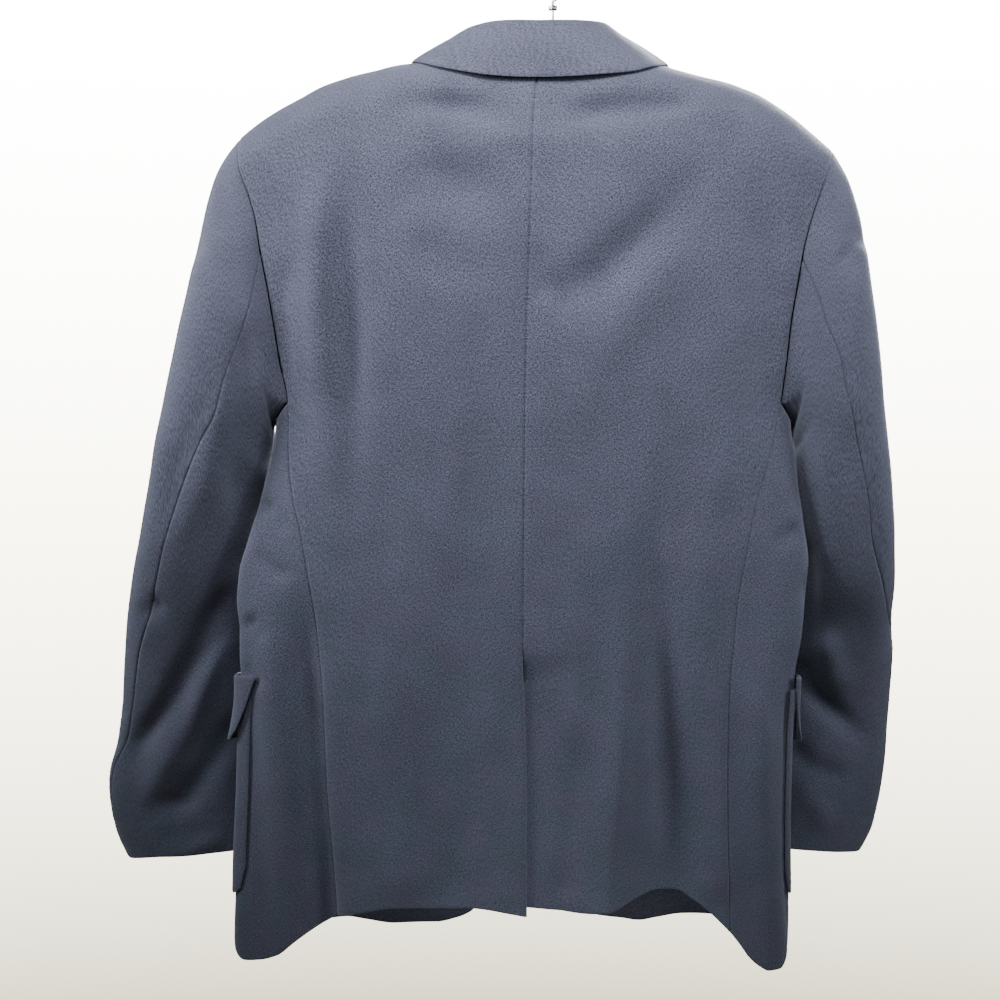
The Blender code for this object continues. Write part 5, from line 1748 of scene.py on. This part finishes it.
@dataclass
class Buttons:
    """The two front buttons with their rims, four holes and thread."""

    horn: bpy.types.Material
    thread: bpy.types.Material
    radius: float = BUTTON_RADIUS
    depth: float = BUTTON_THICKNESS
    sides: int = 64
    hole_radius: float = 1.1
    hole_reach: float = 2.3
    hole_sides: int = 16
    thread_radius: float = 0.42

    def profile(self) -> tuple[tuple[float, float], ...]:
        """Radius and depth from the face's middle over the rim to the back's middle."""
        r, d = self.radius, self.depth
        return ((0.0, 1.5), (r * 0.45, 1.45), (r * 0.62, 1.2), (r * 0.70, 0.6), (r * 0.78, 0.15),
                (r * 0.86, 0.0), (r * 0.94, 0.25), (r * 0.99, 0.9), (r, 1.6), (r * 0.97, 2.5),
                (r * 0.84, 3.5), (r * 0.6, d), (0.0, d))

    def disc(self, name: str) -> bpy.types.Object:
        """Turn the profile round the button's axis."""
        work = bmesh.new()
        rings = []
        turns = np.linspace(0, 2 * math.pi, self.sides, endpoint=False)
        for reach, back in self.profile():
            around = turns if reach else turns[:1]
            rings.append([work.verts.new((reach * math.cos(t), reach * math.sin(t), -back)) for t in around])
        for one, two in zip(rings, rings[1:]):
            for i in range(self.sides):
                j = (i + 1) % self.sides
                corners = [one[i % len(one)], two[i % len(two)], two[j % len(two)], one[j % len(one)]]
                work.faces.new(list(dict.fromkeys(corners)))
        bmesh.ops.recalc_face_normals(work, faces=work.faces)
        return finished(work, name)

    def hole_places(self) -> list[tuple[float, float]]:
        """The four holes' middles."""
        return [(self.hole_reach * a, self.hole_reach * b) for a, b in ((1, 1), (-1, 1), (-1, -1), (1, -1))]

    def drill(self, name: str) -> bpy.types.Object:
        """Four rods to cut the holes with."""
        work = bmesh.new()
        for x, y in self.hole_places():
            made = bmesh.ops.create_cone(work, cap_ends=True, segments=self.hole_sides, depth=self.depth * 4,
                                         radius1=self.hole_radius, radius2=self.hole_radius)
            bmesh.ops.translate(work, verts=made["verts"], vec=(x, y, 0))
        return finished(work, name + "_drill")

    def button(self, name: str, face: np.ndarray) -> bpy.types.Object:
        """Make one button with its holes, turned to the front with its face's middle at a place."""
        made, drill = self.disc(name), self.drill(name)
        cut = made.modifiers.new("holes", "BOOLEAN")
        cut.operation, cut.object, cut.solver = "DIFFERENCE", drill, "EXACT"
        holed = bpy.data.meshes.new_from_object(made.evaluated_get(bpy.context.evaluated_depsgraph_get()))
        made.modifiers.clear()
        made.data = holed
        bpy.data.objects.remove(drill)
        points = np.array([vertex.co for vertex in holed.vertices])
        turned = np.stack((points[:, 0], -points[:, 2], points[:, 1]), axis=1) + face
        holed.vertices.foreach_set("co", (turned * MM).astype(np.float32).ravel())
        holed.update()
        holed.shade_smooth()
        holed.set_sharp_from_angle(angle=math.radians(BUTTON_SHARP_ANGLE))
        return dress(made, self.horn)

    def build(self) -> None:
        """Make both buttons, each with two crossed threads."""
        form = BodyForm(Side.LEFT)
        for number, height in enumerate(BUTTON_HEIGHTS, start=1):
            spot = form.front_point(np.array(0.0), np.array(float(height)))
            face = spot - np.array([0, self.depth + SEAM_GAP, 0])
            declare(self.button(f"button_{number}_horn", face), "button", f"button_{number}")
            for index, (x, z) in enumerate(self.hole_places()[:2], start=1):
                ends = [(x * share, depth, z * share) for share, depth in THREAD_LINE]
                name = f"button_{number}_thread_{index}"
                tube = sweep(name, np.array(ends) + face, self.thread_radius, 8, 16)
                declare(dress(tube, self.thread), "cloth")


def sweep(name: str, points: np.ndarray, radius: float, sides: int, steps: int) -> bpy.types.Object:
    """A closed round tube along a smooth line.

    Args:
        name: The piece's name.
        points: Points of its middle line, in millimetres.
        radius: Its radius in millimetres.
        sides: Sides of its section.
        steps: Sections from end to end.

    Returns:
        The linked object.
    """
    path = through(points, np.linspace(0, len(points) - 1, steps + 1))
    ahead = unit(np.gradient(path, axis=0))
    deep = np.zeros_like(ahead)
    deep[:, 1] = 1.0
    tall = unit(np.cross(ahead, deep))
    deep = unit(np.cross(tall, ahead))
    turns = np.linspace(0, 2 * math.pi, sides, endpoint=False)
    rings = path[:, None] + radius * (deep[:, None] * np.cos(turns)[None, :, None]
                                      + tall[:, None] * np.sin(turns)[None, :, None])
    faces = []
    for ring in range(steps):
        for side in range(sides):
            a, b = ring * sides + side, ring * sides + (side + 1) % sides
            faces.append((a, b, b + sides, a + sides))
    faces += [tuple(range(sides - 1, -1, -1)), tuple(range(steps * sides, (steps + 1) * sides))]
    made = make_piece(name, rings.reshape(-1, 3) * MM, faces)
    work = bmesh.new()
    work.from_mesh(made.data)
    bmesh.ops.recalc_face_normals(work, faces=work.faces)
    work.to_mesh(made.data)
    work.free()
    return made


@dataclass
class Hanger:
    """The plain hanger: its arms and ferrule as the solids have them, its hook as a finer wire."""

    nodes: dict[str, bpy.types.Object]
    arms: bpy.types.Material
    wire: bpy.types.Material

    def hook_line(self) -> np.ndarray:
        """Middle line of the wire, from the crook's tip over the top and down the stem."""
        radius = HOOK_INNER_RADIUS + WIRE_RADIUS
        turns = np.radians(np.linspace(HOOK_TIP_ANGLE, HOOK_NECK_ANGLE, HOOK_STEPS + 1))
        foot = FERRULE_TOP + BEND_CLEARANCE
        crook = np.stack((-radius * np.cos(turns), radius * np.sin(turns) - HOOK_INNER_RADIUS), axis=1)
        share = np.arange(1, HOOK_BEND_STEPS + 1) / HOOK_BEND_STEPS
        turn_in = crook[-1, 0] * (1 - share) ** HOOK_BEND_POWER
        bend = np.stack((turn_in, lerp(crook[-1, 1], foot, share)), axis=1)
        down = np.arange(1, STEM_STEPS + 1) / STEM_STEPS
        stem = np.stack((0 * down, lerp(foot, STEM_FOOT, down)), axis=1)
        return np.insert(np.concatenate((crook, bend, stem)), 1, 0.0, axis=1)

    def build(self) -> None:
        """Dress the solids that stay and make the hook."""
        hook = dress(sweep("hook_wire", self.hook_line(), SEEN_WIRE_RADIUS, 20, 180), self.wire)
        declare(hook, "hook", "hanger_hook")
        dress(self.nodes["hanger_arms"], self.arms)
        dress(self.nodes["hook_ferrule"], self.wire)


@dataclass(frozen=True)
class Lamp:
    """One soft light: where it stands, what it points at, its size in metres, its power and colour."""

    name: str
    place: Spot
    target: Spot
    size: float
    power: float
    colour: Spot
    spread: float

    def build(self) -> None:
        """Add the light to the scene."""
        data = bpy.data.lights.new(self.name, "AREA")
        data.shape, data.size, data.energy, data.color = "SQUARE", self.size, self.power, self.colour
        data.spread = math.radians(self.spread)
        lamp = add_object(self.name, data)
        lamp.location = self.place
        lamp.rotation_euler = (Vector(self.target) - Vector(self.place)).to_track_quat("-Z", "Y").to_euler()


LAMPS = make_rows(
    Lamp,
    ("ceiling", (0.06, 0.78, 0.76), (0.03, 0.0, 0.10), 0.8, 10.2, (1.0, 0.99, 0.98), 54.0),
    ("left window", (1.45, 0.55, 0.16), (0.16, 0.0, -0.34), 0.5, 4.8, (0.98, 0.99, 1.0), 56.0),
    ("right window", (-1.45, 0.72, -0.10), (-0.30, 0.0, -0.40), 0.6, 2.8, (0.97, 0.985, 1.0), 56.0),
    ("hem bounce", (0.02, 1.25, -1.22), (0.0, -0.03, -0.93), 0.25, 0.22, (1.0, 0.97, 0.92), 22.0),
    ("front room", (-0.8, -1.6, 0.70), (0.03, 0.0, -0.42), 0.8, 28.0, (1.0, 0.99, 0.97), 60.0),
)


@dataclass(frozen=True)
class Studio:
    """The floor, the pale surroundings, the lights and the camera, in metres."""

    camera_place: Spot = (0.0484, 1.6, -0.4953)
    lens: float = 63.0
    sensor: float = 36.0
    nearest: float = 0.05
    floor_height: float = -1.3
    floor_x: tuple[float, float] = (-1.8, 1.8)
    floor_y: tuple[float, float] = (-1.1, 2.2)
    floor_colours: tuple[Colour, Colour] = ((0.46, 0.44, 0.39, 1.0), (0.52, 0.49, 0.44, 1.0))
    floor_roughness: float = 0.8
    # The seen backdrop: cream is the wall's own colour, its darkening downwards from white is painted shade
    wall_range: tuple[float, float] = (-0.30, 0.26)
    wall_low: Colour = (0.072, 0.063, 0.043, 1.0)
    wall_middle: Colour = (0.52, 0.505, 0.40, 1.0)
    wall_middle_share: float = 0.55
    wall_high: Colour = (1.0, 1.0, 1.0, 1.0)
    wall_strength: float = 17.0
    fill_colour: Colour = (0.90, 0.92, 0.95, 1.0)
    fill_strength: float = 0.022

    def floor(self) -> None:
        """A plain pale floor below the hem."""
        (left, right), (front, back) = self.floor_x, self.floor_y
        corners = [(left, front), (right, front), (right, back), (left, back)]
        points = np.array([(x, y, self.floor_height) for x, y in corners])
        nodes = Surface("pale floor")
        nodes.feed(Base_Color=nodes.blend(nodes.noise(nodes.own, 6.0), *self.floor_colours),
                   Roughness=self.floor_roughness)
        plane = dress(make_piece("floor", points, [(0, 1, 2, 3)]), nodes.material)

    def surroundings(self) -> None:
        """A pale room: cream low down and white higher up, with a gentle fill on the cloth."""
        world = bpy.data.worlds.new("pale room")
        bpy.context.scene.world = world
        world.use_nodes = True
        nodes = Tree(world.node_tree)
        place, split = nodes.add("ShaderNodeTexCoord"), nodes.add("ShaderNodeSeparateXYZ")
        nodes.join(place.outputs["Generated"], split.inputs["Vector"])
        # Painted light on the backdrop: white high up, darker cream low down
        ramp = nodes.add("ShaderNodeValToRGB")
        nodes.join(nodes.spread(split.outputs["Z"], *self.wall_range), ramp.inputs["Fac"])
        first, last = ramp.color_ramp.elements
        first.color, last.color = self.wall_low, self.wall_high
        ramp.color_ramp.elements.new(self.wall_middle_share).color = self.wall_middle
        seen = nodes.add("ShaderNodeBackground", strength=self.wall_strength)
        fill = nodes.add("ShaderNodeBackground", strength=self.fill_strength)
        fill.inputs["Color"].default_value = self.fill_colour
        path, mix = nodes.add("ShaderNodeLightPath"), nodes.add("ShaderNodeMixShader")
        output = nodes.add("ShaderNodeOutputWorld")
        nodes.chain((ramp, "Color", seen, "Color"), (path, "Is Camera Ray", mix, "Fac"),
                    (mix, "Shader", output, "Surface"))
        for index, shader in ((1, fill), (2, seen)):
            nodes.join(shader.outputs["Background"], mix.inputs[index])

    def camera(self) -> None:
        """A level camera straight behind the blazer, as the photo was taken."""
        data = bpy.data.cameras.new("photo_camera")
        data.lens, data.sensor_width, data.clip_start = self.lens, self.sensor, self.nearest
        camera = add_object("photo_camera", data)
        camera.location = self.camera_place
        camera.rotation_euler = (math.radians(90), 0, math.radians(180))
        bpy.context.scene.camera = camera

    def build(self) -> None:
        """Set everything up."""
        self.floor()
        self.surroundings()
        self.camera()
        for lamp in LAMPS:
            lamp.build()


def main() -> None:
    """Build the blazer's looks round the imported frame."""
    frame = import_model()
    Studio().build()
    cloth, thread = WoolFinish().material(), ThreadFinish().material()
    Jacket(cloth, FELT.material(), thread).build()
    Buttons(HornFinish().material(), thread).build()
    Hanger(frame["nodes"], MOULDED.material(), STEEL_WIRE.material()).build()


if __name__ == "__main__":
    logging.basicConfig(level=logging.INFO, format="%(name)s: %(message)s")
    main()
